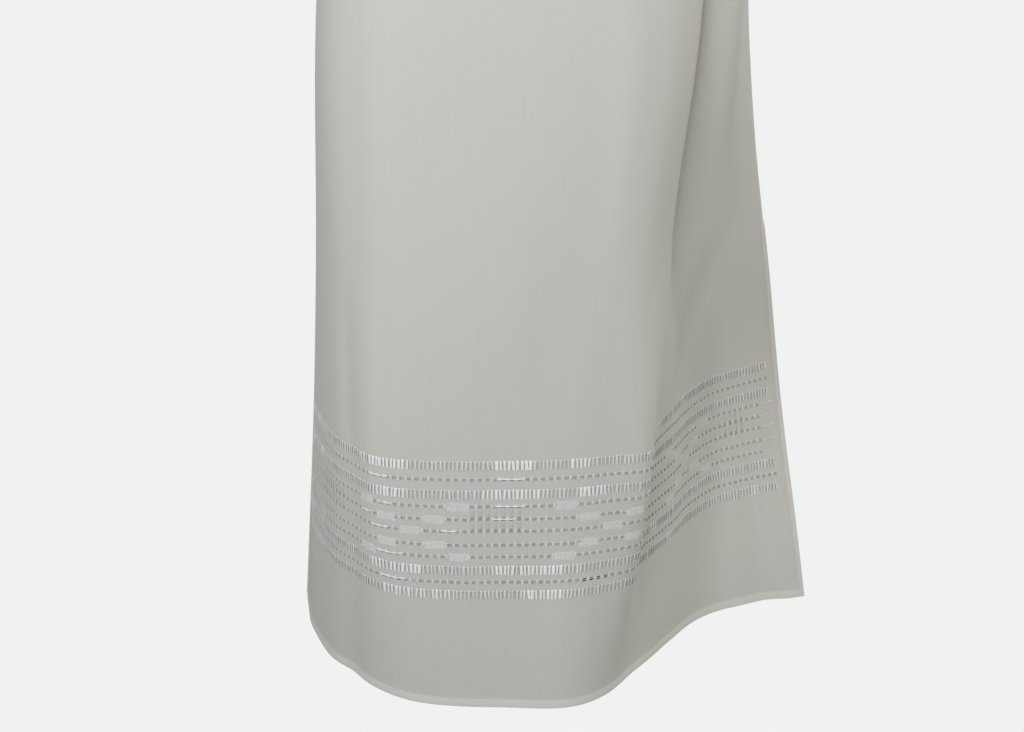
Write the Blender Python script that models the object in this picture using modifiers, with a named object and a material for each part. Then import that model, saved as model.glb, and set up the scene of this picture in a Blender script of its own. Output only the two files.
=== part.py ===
"""An ankle-length sleeveless dress of fine cotton, hollow as it is when it is worn.

The dress is two panels, front and back, joined at the shoulders and at the sides. The side seams stop
at the top of two slits. Narrow bindings finish the neck and the armholes.

All sizes are in metres. X runs to the wearer's left, the front faces -Y and Z is up. The origin lies
midway between the two high points of the shoulders, on the shoulder seams' line. In the tables, x is
measured from the body's middle, y from the shoulder line, and heights from the hem.
"""
import bpy
from math import cos, exp, pi, radians, sin, sqrt
from mathutils import Vector

# Lengths down the dress, as heights above the hem
LENGTH = 1.24
BAND_HEIGHT = 0.25
SLIT_HEIGHT = 0.45
HIP_HEIGHT = 0.70
UNDERARM_HEIGHT = 1.03
CHEST_HEIGHT = 1.06

# Cloth and seams
WALL = 0.0015
SEAM_GAP = 0.0003
BINDING_WIDTH = 0.009
BINDING_THICKNESS = 0.0024
COTTON_COLOUR = (0.66, 0.65, 0.60)
COTTON_ROUGHNESS = 0.85

# Neck and shoulders
NECK_HALF_WIDTH = 0.088
NECK_DROP = {"front": 0.095, "back": 0.022}
NECK_TURN = radians(50)
SHOULDER_TIP_X = 0.172
SHOULDER_DROP = 0.034

# How far each slit has opened at the hem: the back edge's place, from the front edge's
SLIT_OPENING = {"right": (0.014, 0.034), "left": (-0.030, 0.046)}
SLIT_CURVE = 1.4

# Grid of each panel: columns across, those that end under each arm, and rows from the hem to the
# underarm, from there to the neck, and up the shoulder straps. The strap's rows crowd at the shoulder.
COLUMNS = {"front": 42, "back": 38}
UNDERARM_COLUMNS = {"front": 5, "back": 4}
STRAP_SHARE = 0.31
SKIRT_ROWS = 22
CHEST_ROWS = 5
STRAP_ROWS = 5
STRAP_CROWDING = 1.6

# Step along the panel's width, as a share, that gives the cloth's direction at a point
NEARBY_SHARE = 0.004

# Level sections of the body above the hip
SECTION_COLUMNS = ("height", "half_width", "front_y", "back_y", "side_y", "squareness")
SECTIONS = [
    (0.84, 0.207, -0.131, 0.142, 0.012, 2.15),
    (0.96, 0.206, -0.134, 0.132, 0.002, 2.10),
    (CHEST_HEIGHT, 0.200, -0.128, 0.125, 0.000, 2.00),
]

# The ridges and valleys that the cloth hangs in, each a line down a panel with its (x, y) at four
# heights, from the wearer's right to the left. The back's two edges follow the front's.
# round: the line's place round the sections above, in degrees from the wearer's left
LINE_COLUMNS = ("name", "round", "hem", "band", "slit", "hip")
FRONT_LINES = [
    ("right edge", 180, (-0.251, 0.146), (-0.235, 0.134), (-0.224, 0.098), (-0.208, 0.036)),
    ("right side", 158, (-0.234, 0.045), (-0.222, 0.010), (-0.216, 0.002), (-0.208, -0.022)),
    ("right turn", 137, (-0.186, -0.060), (-0.180, -0.096), (-0.181, -0.090), (-0.177, -0.083)),
    ("right front", 115, (-0.112, -0.118), (-0.122, -0.129), (-0.118, -0.128), (-0.112, -0.123)),
    ("middle", 95, (-0.020, -0.135), (-0.020, -0.136), (-0.016, -0.138), (-0.014, -0.136)),
    ("left front", 76, (0.054, -0.120), (0.070, -0.120), (0.062, -0.127), (0.068, -0.130)),
    ("left turn", 58, (0.110, -0.055), (0.124, -0.100), (0.112, -0.108), (0.130, -0.108)),
    ("fold wall", 41, (0.148, 0.018), (0.146, -0.002), (0.136, -0.042), (0.156, -0.072)),
    ("fold valley", 28, (0.188, 0.077), (0.172, 0.070), (0.152, 0.004), (0.170, -0.042)),
    ("flare", 14, (0.243, 0.109), (0.216, 0.118), (0.197, 0.058), (0.199, -0.012)),
    ("left edge", 0, (0.308, 0.136), (0.271, 0.174), (0.243, 0.112), (0.214, 0.036)),
]
BACK_LINES = [
    ("right turn", 145, (-0.208, 0.252), (-0.200, 0.216), (-0.192, 0.184), (-0.182, 0.126)),
    ("right back", 118, (-0.118, 0.300), (-0.114, 0.260), (-0.106, 0.224), (-0.104, 0.168)),
    ("middle", 90, (0.008, 0.314), (0.006, 0.272), (0.004, 0.236), (0.000, 0.178)),
    ("left back", 62, (0.130, 0.298), (0.120, 0.258), (0.108, 0.222), (0.104, 0.168)),
    ("left turn", 34, (0.228, 0.252), (0.212, 0.220), (0.190, 0.184), (0.180, 0.126)),
]

# Softer folds that grow towards the hem and die out before the panel's edges. place and width:
# shares of the panel's width; depth: outward at the hem; top: the height where the fold ends;
# lean: the place's shift at the top
FOLD_GROWTH = 1.2
FOLD_FREE_EDGE = 0.04
FOLD_COLUMNS = ("place", "width", "depth", "top", "lean")
FOLDS = {
    "front": [
        (0.245, 0.030, -0.006, 0.46, 0.010),
        (0.345, 0.045, 0.004, 0.95, -0.010),
        (0.455, 0.050, -0.004, 0.80, 0.015),
        (0.540, 0.040, 0.004, 0.90, -0.012),
        (0.945, 0.028, -0.005, 0.43, -0.010),
    ],
    "back": [
        (0.125, 0.042, -0.018, 0.62, 0.020),
        (0.235, 0.050, 0.029, 0.86, 0.025),
        (0.355, 0.046, -0.026, 0.66, 0.010),
        (0.480, 0.052, 0.032, 0.90, -0.010),
        (0.605, 0.044, -0.028, 0.74, -0.015),
        (0.715, 0.050, 0.026, 0.84, -0.020),
        (0.855, 0.046, -0.020, 0.58, -0.015),
    ],
}

# The armhole: half an oval below, seen from the side, then its outline in front view, which the
# neckline's row meets at NECK_ROW_SHARE. ARMHOLE_PULL keeps its effect on the rows near the edge.
ARMHOLE_HALF_DEPTH = 0.078
ARMHOLE_LOWER_HEIGHT = 0.085
ARMHOLE_COLUMNS = ("share", "x", "height")
ARMHOLE = [
    (0.32, 0.1635, 1.088),
    (0.62, 0.1585, 1.132),
    (1.00, SHOULDER_TIP_X, LENGTH - SHOULDER_DROP),
]
NECK_ROW_SHARE = 0.62
ARMHOLE_PULL = 6

# How the upper body rounds over from the chest or the shoulder blades to the shoulder seam
ROUNDING = {"front": (1.6, 0.66), "back": (2.2, 0.44)}


def smooth_between(knots, values, at):
    """A smooth curve through values, one at each knot, read at one place."""
    last = len(knots) - 1
    i = 0
    while i < last - 1 and at > knots[i + 1]:
        i += 1

    def slope(k):
        if k == 0 or k == last:
            a, b = (0, 1) if k == 0 else (last - 1, last)
            return (values[b] - values[a]) / (knots[b] - knots[a])
        before = knots[k] - knots[k - 1]
        after = knots[k + 1] - knots[k]
        slope_before = (values[k] - values[k - 1]) / before
        slope_after = (values[k + 1] - values[k]) / after
        return (slope_before * after + slope_after * before) / (before + after)

    span = knots[i + 1] - knots[i]
    t = (at - knots[i]) / span
    rise = 3 * t * t - 2 * t * t * t
    start = t * (1 - t) * (1 - t) * span
    end = t * t * (t - 1) * span
    return values[i] * (1 - rise) + values[i + 1] * rise + slope(i) * start + slope(i + 1) * end


def body_section(side, section, degrees):
    """A point of the body's level section, at an angle round it."""
    row = dict(zip(SECTION_COLUMNS, section))
    depth = row[side + "_y"] - row["side_y"]
    power = 2 / row["squareness"]
    c = cos(radians(degrees))
    s = abs(sin(radians(degrees)))
    x = row["half_width"] * abs(c) ** power * (1 if c >= 0 else -1)
    return Vector((x, row["side_y"] + depth * s ** power))


def line_heights():
    return [0.0, BAND_HEIGHT, SLIT_HEIGHT, HIP_HEIGHT] + [section[0] for section in SECTIONS]


def line_place(side, line, height):
    """Where one hanging line of a panel passes at a height."""
    row = dict(zip(LINE_COLUMNS, line))
    places = [Vector(row[key]) for key in ("hem", "band", "slit", "hip")]
    places += [body_section(side, section, row["round"]) for section in SECTIONS]
    return smooth_between(line_heights(), places, height)


def front_edge(hand, height):
    line = FRONT_LINES[0] if hand == "right" else FRONT_LINES[-1]
    return line_place("front", line, height)


def back_edge(hand, height):
    """The back's side edge: the front's own, moved apart below the top of the slit."""
    share = max(0.0, 1 - height / SLIT_HEIGHT) ** SLIT_CURVE
    return front_edge(hand, height) + Vector(SLIT_OPENING[hand]) * share


def lines_at(side, height):
    """All the hanging lines of a panel at a height, from the wearer's right to the left."""
    if side == "front":
        return [line_place(side, line, height) for line in FRONT_LINES]
    inner = [line_place(side, line, height) for line in BACK_LINES]
    return [back_edge("right", height)] + inner + [back_edge("left", height)]


def line_shares(side):
    """Each line's share of the panel's width, measured along the cloth at the hem."""
    places = lines_at(side, 0.0)
    travelled = [0.0]
    for a, b in zip(places, places[1:]):
        travelled.append(travelled[-1] + (b - a).length)
    return [distance / travelled[-1] for distance in travelled]


def fold_offset(side, share, height):
    """How far the softer folds push the cloth out at one place."""
    offset = 0.0
    for fold in FOLDS[side]:
        row = dict(zip(FOLD_COLUMNS, fold))
        growth = max(0.0, 1 - height / row["top"]) ** FOLD_GROWTH
        place = row["place"] + row["lean"] * height / row["top"]
        offset += row["depth"] * growth * exp(-((share - place) / row["width"]) ** 2)
    return offset * min(1.0, share / FOLD_FREE_EDGE, (1 - share) / FOLD_FREE_EDGE)


def skirt_point(side, share, height, knots):
    """A point of a panel below the arms, folds included."""
    lines = lines_at(side, height)
    before = smooth_between(knots, lines, max(0.0, share - NEARBY_SHARE))
    after = smooth_between(knots, lines, min(1.0, share + NEARBY_SHARE))
    along = (after - before).normalized()
    outward = Vector((along.y, -along.x)) * (1 if side == "front" else -1)
    place = smooth_between(knots, lines, share) + outward * fold_offset(side, share, height)
    return Vector((place.x, place.y, height))


def shoulder_height(x):
    """The height of the shoulder seam, or of the neck's high point, above the hem."""
    beyond = max(0.0, abs(x) - NECK_HALF_WIDTH) / (SHOULDER_TIP_X - NECK_HALF_WIDTH)
    return LENGTH - SHOULDER_DROP * beyond


def upper_body(side, x, height):
    """The cloth's point over the chest or the upper back, from its place in front view."""
    top = dict(zip(SECTION_COLUMNS, SECTIONS[-1]))
    share = min(1.0, (height - CHEST_HEIGHT) / (shoulder_height(x) - CHEST_HEIGHT))
    power, roundness = ROUNDING[side]
    over = max(0.0, 1 - max(0.0, share) ** power) ** roundness
    across = sqrt(max(0.0, 1 - (x / top["half_width"]) ** 2))
    return Vector((x, top[side + "_y"] * across * over, height))


def underarm_height(y):
    """The height of the cloth's upper edge under the arm, at a distance before or behind the seam."""
    share = min(1.0, abs(y) / ARMHOLE_HALF_DEPTH)
    return UNDERARM_HEIGHT + ARMHOLE_LOWER_HEIGHT * (1 - sqrt(1 - share * share))


def armhole_at(share, corner):
    """The armhole's outline in front view, from its lower corner to the shoulder tip."""
    shares = [0.0] + [row[0] for row in ARMHOLE]
    return smooth_between(shares, [corner] + [Vector(row[1:]) for row in ARMHOLE], share)


def neck_at(side, angle):
    """The neckline in front view, from the shoulder (0) to its lowest point (90 degrees)."""
    return Vector((NECK_HALF_WIDTH * cos(angle), LENGTH - NECK_DROP[side] * sin(angle)))


def neck_row(side, corner, strap, last):
    """Places in front view of the row that runs along the bottom of the neckline."""
    edge = armhole_at(NECK_ROW_SHARE, corner)
    neck = neck_at(side, NECK_TURN)
    row = []
    for j in range(last + 1):
        near = min(j, last - j)
        if near <= strap:
            place = edge.lerp(neck, near / strap)
        else:
            turn = NECK_TURN + (pi / 2 - NECK_TURN) * (near - strap) / (last / 2 - strap)
            place = neck_at(side, turn)
        row.append(Vector((-place.x if j < last - j else place.x, place.y)))
    return row


def chest_rows(side, first_row, strap):
    """Rows from one armhole to the other, from the underarm up to the neckline's row."""
    last = len(first_row) - 1
    corner = Vector((first_row[last].x, first_row[last].z))
    goal = neck_row(side, corner, strap, last)
    rows = []
    for k in range(1, CHEST_ROWS + 1):
        t = k / CHEST_ROWS
        edge = armhole_at(NECK_ROW_SHARE * t, corner)
        straight_height = corner.y + (goal[last].y - corner.y) * t
        row = []
        for start, end in zip(first_row, goal):
            across = (start.x / first_row[last].x) * (1 - t) + (end.x / goal[last].x) * t
            height = start.z + (end.y - start.z) * t
            height += (edge.y - straight_height) * abs(across) ** ARMHOLE_PULL
            row.append(upper_body(side, across * edge.x, height))
        rows.append(row)
    return rows


def strap_rows(side, corner, strap):
    """Rows of one shoulder strap, each from the armhole to the neckline; the last is the shoulder seam."""
    rows = []
    for k in range(1, STRAP_ROWS + 1):
        t = 1 - (1 - k / STRAP_ROWS) ** STRAP_CROWDING
        edge = armhole_at(NECK_ROW_SHARE + (1 - NECK_ROW_SHARE) * t, corner)
        neck = neck_at(side, NECK_TURN * (1 - t))
        row = []
        for j in range(strap + 1):
            place = edge.lerp(neck, j / strap)
            row.append(upper_body(side, place.x, min(place.y, shoulder_height(place.x))))
        rows.append(row)
    return rows


def in_part_frame(point):
    return Vector((point.x, point.y, point.z - LENGTH))


class Panel:
    """The points of one panel, its faces, and the borders that seams and bindings follow."""

    def __init__(self, side):
        self.side = side
        self.columns = COLUMNS[side]
        self.under = UNDERARM_COLUMNS[side]
        self.strap = round(self.columns * STRAP_SHARE)
        self.points = []
        self.faces = []
        self.index = {}
        self.lay_points()
        self.part_the_seams()
        self.lay_faces()

    def put(self, key, point):
        self.index[key] = len(self.points)
        self.points.append(in_part_frame(point))

    def at(self, *key):
        return self.points[self.index[key]]

    def lay_points(self):
        knots = line_shares(self.side)
        shares = [j / self.columns for j in range(self.columns + 1)]
        tops = []
        for share in shares:
            chest_place = skirt_point(self.side, share, CHEST_HEIGHT, knots)
            tops.append(min(CHEST_HEIGHT, underarm_height(chest_place.y)))
        for k in range(SKIRT_ROWS + 1):
            for j, share in enumerate(shares):
                self.put((k, j), skirt_point(self.side, share, tops[j] * k / SKIRT_ROWS, knots))
        inner = range(self.under, self.columns - self.under + 1)
        first = [skirt_point(self.side, shares[j], tops[j], knots) for j in inner]
        strap = self.strap - self.under
        for k, row in enumerate(chest_rows(self.side, first, strap), SKIRT_ROWS + 1):
            for j, point in zip(inner, row):
                self.put((k, j), point)
        self.top = SKIRT_ROWS + CHEST_ROWS
        corner = Vector((first[-1].x, first[-1].z))
        for k, row in enumerate(strap_rows(self.side, corner, strap), self.top + 1):
            for j, point in enumerate(row, self.under):
                self.put((k, self.columns - j), point)
                self.put((k, j), Vector((-point.x, point.y, point.z)))
        self.shoulder = self.top + STRAP_ROWS

    def part_the_seams(self):
        """Draws the cloth back from the side seams and shoulder seams by half the seam's gap."""
        for k in range(SKIRT_ROWS + 1):
            for edge, inner in ((0, 1), (self.columns, self.columns - 1)):
                seam = self.index[k, edge]
                inward = (self.at(k, inner) - self.points[seam]).normalized()
                self.points[seam] = self.points[seam] + inward * SEAM_GAP / 2
        away = -1 if self.side == "front" else 1
        for (k, _), i in self.index.items():
            if k == self.shoulder:
                self.points[i].y += away * SEAM_GAP / 2

    def lay_faces(self):
        for k in range(self.shoulder):
            for j in range(self.columns):
                corners = [(k, j), (k, j + 1), (k + 1, j + 1), (k + 1, j)]
                in_neck = k >= self.top and self.strap <= j < self.columns - self.strap
                if in_neck or any(corner not in self.index for corner in corners):
                    continue
                if self.side == "back":
                    corners.reverse()
                self.faces.append([self.index[corner] for corner in corners])

    def neck_border(self):
        """The neckline's points, from the wearer's right shoulder to the left one."""
        right = [(k, self.strap) for k in range(self.shoulder, self.top, -1)]
        under = [(self.top, j) for j in range(self.strap, self.columns - self.strap + 1)]
        left = [(k, self.columns - self.strap) for k in range(self.top + 1, self.shoulder + 1)]
        return right + under + left

    def armhole_border(self, hand):
        """The armhole's points, from the underarm to the shoulder tip."""
        under = [(SKIRT_ROWS, j) for j in range(self.under + 1)]
        side = [(k, self.under) for k in range(SKIRT_ROWS + 1, self.shoulder + 1)]
        if hand == "right":
            return under + side
        return [(k, self.columns - j) for k, j in under + side]

    def normal_at(self, key):
        total = Vector()
        for face in self.faces:
            if self.index[key] in face:
                a, b, c, d = [self.points[i] for i in face]
                total += (c - a).cross(d - b)
        return total.normalized()


def material(name, colour, roughness):
    made = bpy.data.materials.new(name)
    made.use_nodes = True
    shader = made.node_tree.nodes["Principled BSDF"]
    shader.inputs["Base Color"].default_value = (*colour, 1.0)
    shader.inputs["Roughness"].default_value = roughness
    shader.inputs["Metallic"].default_value = 0.0
    return made


def plain_cloth(name):
    return material(name, COTTON_COLOUR, COTTON_ROUGHNESS)


def add_object(name, points, faces, cloth, collection):
    mesh = bpy.data.meshes.new(name)
    mesh.from_pydata(points, [], faces)
    mesh.materials.append(cloth)
    mesh.shade_smooth()
    made = bpy.data.objects.new(name, mesh)
    collection.objects.link(made)
    return made


def panel_object(panel, collection):
    """A panel as a thin wall: its points are the cloth's inner face, and the wall grows outward."""
    cloth = plain_cloth(panel.side + "_cotton")
    made = add_object(panel.side, panel.points, panel.faces, cloth, collection)
    wall = made.modifiers.new("wall", "SOLIDIFY")
    wall.thickness = WALL
    wall.offset = 1.0
    wall.use_even_offset = False


def binding_points(border):
    """Four corners of the strip at each point of a border, in order round the opening."""
    count = len(border)
    middle = sum((point for point, normal in border), Vector()) / count
    points = []
    for i, (point, normal) in enumerate(border):
        along = (border[(i + 1) % count][0] - border[i - 1][0]).normalized()
        inward = along.cross(normal).normalized()
        if inward.dot(middle - point) < 0:
            inward = -inward
        outward = inward.cross(along).normalized()
        if outward.dot(normal) < 0:
            outward = -outward
        core = point + outward * WALL / 2
        near = core + inward * SEAM_GAP
        far = near + inward * BINDING_WIDTH
        half = outward * BINDING_THICKNESS / 2
        points += [near - half, near + half, far + half, far - half]
    return points


def binding_object(name, border, collection):
    """A closed strip along a border of the dress, edge to edge with the panels.

    border: (point, normal) pairs in order round the opening, with no pair twice.
    """
    count = len(border)
    faces = []
    for i in range(count):
        a = 4 * i
        b = 4 * ((i + 1) % count)
        for c in range(4):
            d = (c + 1) % 4
            faces.append([a + c, b + c, b + d, a + d])
    made = add_object(name, binding_points(border), faces, plain_cloth(name + "_cotton"), collection)
    turn_outward(made.data)


def midway(a, b):
    """The place on a seam between two borders' ends."""
    return (a[0] + b[0]) / 2, (a[1] + b[1]).normalized()


def joined_border(front_part, back_part):
    """One closed border from a front and a back stretch that meet at two seams."""
    stretches = []
    for panel, keys in (front_part, back_part):
        stretches.append([(panel.at(*key), panel.normal_at(key)) for key in keys])
    front, back = stretches
    return [midway(back[-1], front[0])] + front[1:-1] + [midway(front[-1], back[0])] + back[1:-1]


def turn_outward(mesh):
    """Turns a closed strip's faces so that they point out of it."""
    volume = 0.0
    for polygon in mesh.polygons:
        corners = [mesh.vertices[i].co for i in polygon.vertices]
        for b, c in zip(corners[1:], corners[2:]):
            volume += corners[0].dot(b.cross(c))
    if volume < 0:
        mesh.flip_normals()


def build():
    for old in list(bpy.data.objects):
        bpy.data.objects.remove(old)
    collection = bpy.data.collections.new("embroidered_dress")
    bpy.context.scene.collection.children.link(collection)
    front = Panel("front")
    back = Panel("back")
    panel_object(front, collection)
    panel_object(back, collection)
    neck = joined_border((front, front.neck_border()), (back, back.neck_border()[::-1]))
    binding_object("neck_binding", neck, collection)
    for hand in ("left", "right"):
        borders = (front, front.armhole_border(hand)), (back, back.armhole_border(hand)[::-1])
        binding_object("armhole_binding_" + hand, joined_border(*borders), collection)


build()
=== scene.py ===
# %% [markdown]
# # A long cotton dress with an openwork band
#
# The real garment is an ankle-length, sleeveless dress of fine off-white cotton. It is two panels, joined at
# the shoulders and down the sides, with a slit below each side seam. Above the hem runs a woven band of
# satin bars, small holes and raised blocks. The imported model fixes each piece's size and place. This lesson
# gives it its looks: thin cloth, its small folds, its threads and its light.

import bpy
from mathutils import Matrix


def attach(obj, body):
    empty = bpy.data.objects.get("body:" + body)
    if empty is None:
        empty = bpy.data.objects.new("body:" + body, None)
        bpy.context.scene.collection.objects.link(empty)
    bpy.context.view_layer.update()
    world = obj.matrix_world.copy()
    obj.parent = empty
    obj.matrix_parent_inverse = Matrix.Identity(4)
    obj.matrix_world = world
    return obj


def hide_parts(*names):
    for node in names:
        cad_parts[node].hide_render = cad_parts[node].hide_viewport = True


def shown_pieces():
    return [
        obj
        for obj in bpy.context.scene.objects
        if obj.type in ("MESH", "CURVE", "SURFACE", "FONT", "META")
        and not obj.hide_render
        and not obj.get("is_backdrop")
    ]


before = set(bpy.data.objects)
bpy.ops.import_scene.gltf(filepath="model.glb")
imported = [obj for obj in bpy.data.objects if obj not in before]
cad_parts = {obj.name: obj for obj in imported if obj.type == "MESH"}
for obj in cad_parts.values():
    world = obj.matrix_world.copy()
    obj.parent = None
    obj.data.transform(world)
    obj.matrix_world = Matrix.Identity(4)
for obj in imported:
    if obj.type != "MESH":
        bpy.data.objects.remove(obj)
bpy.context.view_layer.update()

# %% Modules
import math

import bpy
import numpy as np

scene = bpy.context.scene

# %% [markdown]
# ## The camera
#
# The photograph looks down a little, from about 2.2 m in front of the skirt. A long lens keeps the rows of
# the band nearly level. A camera can be moved by eye until the outlines agree, but its place was worked out
# from the level hem and rows, which is surer. It comes first, because each detail is judged through it.

# %% Camera
IMAGE_WIDTH_PX = 1024
FOCAL_PX = 2400
SENSOR_MM = 36.0
CAMERA_PLACE = (-0.020, -2.325, -0.070)
CAMERA_PITCH = math.radians(20)

lens = bpy.data.cameras.new("camera")
lens.sensor_width = SENSOR_MM
lens.lens = SENSOR_MM * FOCAL_PX / IMAGE_WIDTH_PX
camera = bpy.data.objects.new("camera", lens)
camera.location = CAMERA_PLACE
camera.rotation_euler = (math.pi / 2 - CAMERA_PITCH, 0, 0)
scene.collection.objects.link(camera)
scene.camera = camera
print("lens", round(lens.lens, 1), "mm")

# %% [markdown]
# ## The dress's own sizes
#
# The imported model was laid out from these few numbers, so the same numbers give cloth that fits it. The cloth
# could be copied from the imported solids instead, but numbers can be read and changed. Heights are measured
# from the hem, x from the body's middle and y from the shoulder line. The front faces -Y.

# %% Lengths down the dress
LENGTH = 1.24
BAND_HEIGHT = 0.25
SLIT_HEIGHT = 0.45
HIP_HEIGHT = 0.70
UNDERARM_HEIGHT = 1.03
CHEST_HEIGHT = 1.06
WALL = 0.0015
SIDES = ("front", "back")

NECK_HALF_WIDTH = 0.088
NECK_DROP = {"front": 0.095, "back": 0.022}
NECK_TURN = math.radians(50)
SHOULDER_TIP_X = 0.172
SHOULDER_DROP = 0.034

SLIT_OPENING = {"right": (0.014, 0.034), "left": (-0.030, 0.046)}
SLIT_CURVE = 1.4

UNDERARM_SHARE = {"front": 5 / 42, "back": 4 / 38}
STRAP_SHARE = 0.31
print("dress", LENGTH, "m long, with slits", SLIT_HEIGHT, "m high")

# %% Level sections of the body above the hip
SECTION_COLUMNS = ("height", "half_width", "front_y", "back_y", "side_y", "squareness")
SECTIONS = [
    (0.84, 0.207, -0.131, 0.142, 0.012, 2.15),
    (0.96, 0.206, -0.134, 0.132, 0.002, 2.10),
    (CHEST_HEIGHT, 0.200, -0.128, 0.125, 0.000, 2.00),
]

# %% The ridges and valleys that the cloth hangs in
# Each line has its place at four heights, and its place round the sections in degrees.
LINE_COLUMNS = ("name", "round", "hem", "band", "slit", "hip")
FRONT_LINES = [
    ("right edge", 180, (-0.251, 0.146), (-0.235, 0.134), (-0.224, 0.098), (-0.208, 0.036)),
    ("right side", 158, (-0.234, 0.045), (-0.222, 0.010), (-0.216, 0.002), (-0.208, -0.022)),
    ("right turn", 137, (-0.186, -0.060), (-0.180, -0.096), (-0.181, -0.090), (-0.177, -0.083)),
    ("right front", 115, (-0.112, -0.118), (-0.122, -0.129), (-0.118, -0.128), (-0.112, -0.123)),
    ("middle", 95, (-0.020, -0.135), (-0.020, -0.136), (-0.016, -0.138), (-0.014, -0.136)),
    ("left front", 76, (0.054, -0.120), (0.070, -0.120), (0.062, -0.127), (0.068, -0.130)),
    ("left turn", 58, (0.110, -0.055), (0.124, -0.100), (0.112, -0.108), (0.130, -0.108)),
    ("fold wall", 41, (0.148, 0.018), (0.146, -0.002), (0.136, -0.042), (0.156, -0.072)),
    ("fold valley", 28, (0.188, 0.077), (0.172, 0.070), (0.152, 0.004), (0.170, -0.042)),
    ("flare", 14, (0.243, 0.109), (0.216, 0.118), (0.197, 0.058), (0.199, -0.012)),
    ("left edge", 0, (0.308, 0.136), (0.271, 0.174), (0.243, 0.112), (0.214, 0.036)),
]
BACK_LINES = [
    ("right turn", 145, (-0.208, 0.252), (-0.200, 0.216), (-0.192, 0.184), (-0.182, 0.126)),
    ("right back", 118, (-0.118, 0.300), (-0.114, 0.260), (-0.106, 0.224), (-0.104, 0.168)),
    ("middle", 90, (0.008, 0.314), (0.006, 0.272), (0.004, 0.236), (0.000, 0.178)),
    ("left back", 62, (0.130, 0.298), (0.120, 0.258), (0.108, 0.222), (0.104, 0.168)),
    ("left turn", 34, (0.228, 0.252), (0.212, 0.220), (0.190, 0.184), (0.180, 0.126)),
]

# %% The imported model's soft folds
# place and width are shares of the panel's width, depth is outward at the hem, and top is where it ends.
FOLD_GROWTH = 1.2
FOLD_FREE_EDGE = 0.04
FOLD_COLUMNS = ("place", "width", "depth", "top", "lean")
FOLDS = {
    "front": [
        (0.245, 0.030, -0.006, 0.46, 0.010),
        (0.345, 0.045, 0.004, 0.95, -0.010),
        (0.455, 0.050, -0.004, 0.80, 0.015),
        (0.540, 0.040, 0.004, 0.90, -0.012),
        (0.945, 0.028, -0.005, 0.43, -0.010),
    ],
    "back": [
        (0.125, 0.042, -0.018, 0.62, 0.020),
        (0.235, 0.050, 0.029, 0.86, 0.025),
        (0.355, 0.046, -0.026, 0.66, 0.010),
        (0.480, 0.052, 0.032, 0.90, -0.010),
        (0.605, 0.044, -0.028, 0.74, -0.015),
        (0.715, 0.050, 0.026, 0.84, -0.020),
        (0.855, 0.046, -0.020, 0.58, -0.015),
    ],
}

# %% Armhole and shoulder
ARMHOLE_HALF_DEPTH = 0.078
ARMHOLE_LOWER_HEIGHT = 0.085
ARMHOLE = [
    (0.32, 0.1635, 1.088),
    (0.62, 0.1585, 1.132),
    (1.00, SHOULDER_TIP_X, LENGTH - SHOULDER_DROP),
]
NECK_ROW_SHARE = 0.62
ARMHOLE_PULL = 6
ROUNDING = {"front": (1.6, 0.66), "back": (2.2, 0.44)}
print("tables:", len(FRONT_LINES), "front lines,", len(BACK_LINES), "back lines")

# %% [markdown]
# ## The cloth as a surface
#
# A hanging panel is easiest to describe as curves. At each height a smooth curve passes through all the
# hanging lines, and each line is itself a smooth curve up the dress. NumPy reads whole rows of points at
# once, which lets the cloth have tens of thousands of points and still be quick to make.

# %% A smooth curve through values
def smooth_between(knots, values, at):
    """values holds one row per knot, or one row per knot and place; at holds the places to read."""
    knots = np.asarray(knots, float)
    values = np.asarray(values, float)
    if values.ndim == 2:
        values = np.repeat(values[:, None], len(at), axis=1)
    spans = np.diff(knots)[:, None, None]
    steps = np.diff(values, axis=0) / spans
    inner = (steps[:-1] * spans[1:] + steps[1:] * spans[:-1]) / (spans[:-1] + spans[1:])
    slopes = np.concatenate([steps[:1], inner, steps[-1:]])
    i = np.clip(np.searchsorted(knots, at) - 1, 0, len(knots) - 2)
    n = np.arange(len(at))
    span = spans[i, 0]
    t = (at - knots[i])[:, None] / span
    rise = t * t * (3 - 2 * t)
    start = t * (1 - t) ** 2 * span
    end = t * t * (t - 1) * span
    return (values[i, n] * (1 - rise) + values[i + 1, n] * rise
            + slopes[i, n] * start + slopes[i + 1, n] * end)


def unit(vectors):
    return vectors / np.maximum(np.linalg.norm(vectors, axis=-1, keepdims=True), 1e-12)


# %% The hanging lines
def body_section(side, section, degrees):
    row = dict(zip(SECTION_COLUMNS, section))
    depth = row[side + "_y"] - row["side_y"]
    power = 2 / row["squareness"]
    c = math.cos(math.radians(degrees))
    s = abs(math.sin(math.radians(degrees)))
    x = row["half_width"] * abs(c) ** power * (1 if c >= 0 else -1)
    return (x, row["side_y"] + depth * s ** power)


def line_place(side, line, heights):
    """Where one hanging line passes at each of many heights."""
    row = dict(zip(LINE_COLUMNS, line))
    knots = [0.0, BAND_HEIGHT, SLIT_HEIGHT, HIP_HEIGHT] + [section[0] for section in SECTIONS]
    places = [row[key] for key in ("hem", "band", "slit", "hip")]
    places += [body_section(side, section, row["round"]) for section in SECTIONS]
    return smooth_between(knots, places, heights)


def back_edge(hand, heights):
    """The back's side edge: the front's own, moved apart below the top of the slit."""
    line = FRONT_LINES[0] if hand == "right" else FRONT_LINES[-1]
    share = np.maximum(0.0, 1 - heights / SLIT_HEIGHT) ** SLIT_CURVE
    return line_place("front", line, heights) + np.outer(share, SLIT_OPENING[hand])


def line_places(side, heights):
    """Lines x heights x (x, y), from the wearer's right to the left."""
    if side == "front":
        return np.array([line_place(side, line, heights) for line in FRONT_LINES])
    inner = [line_place(side, line, heights) for line in BACK_LINES]
    return np.array([back_edge("right", heights)] + inner + [back_edge("left", heights)])


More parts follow.
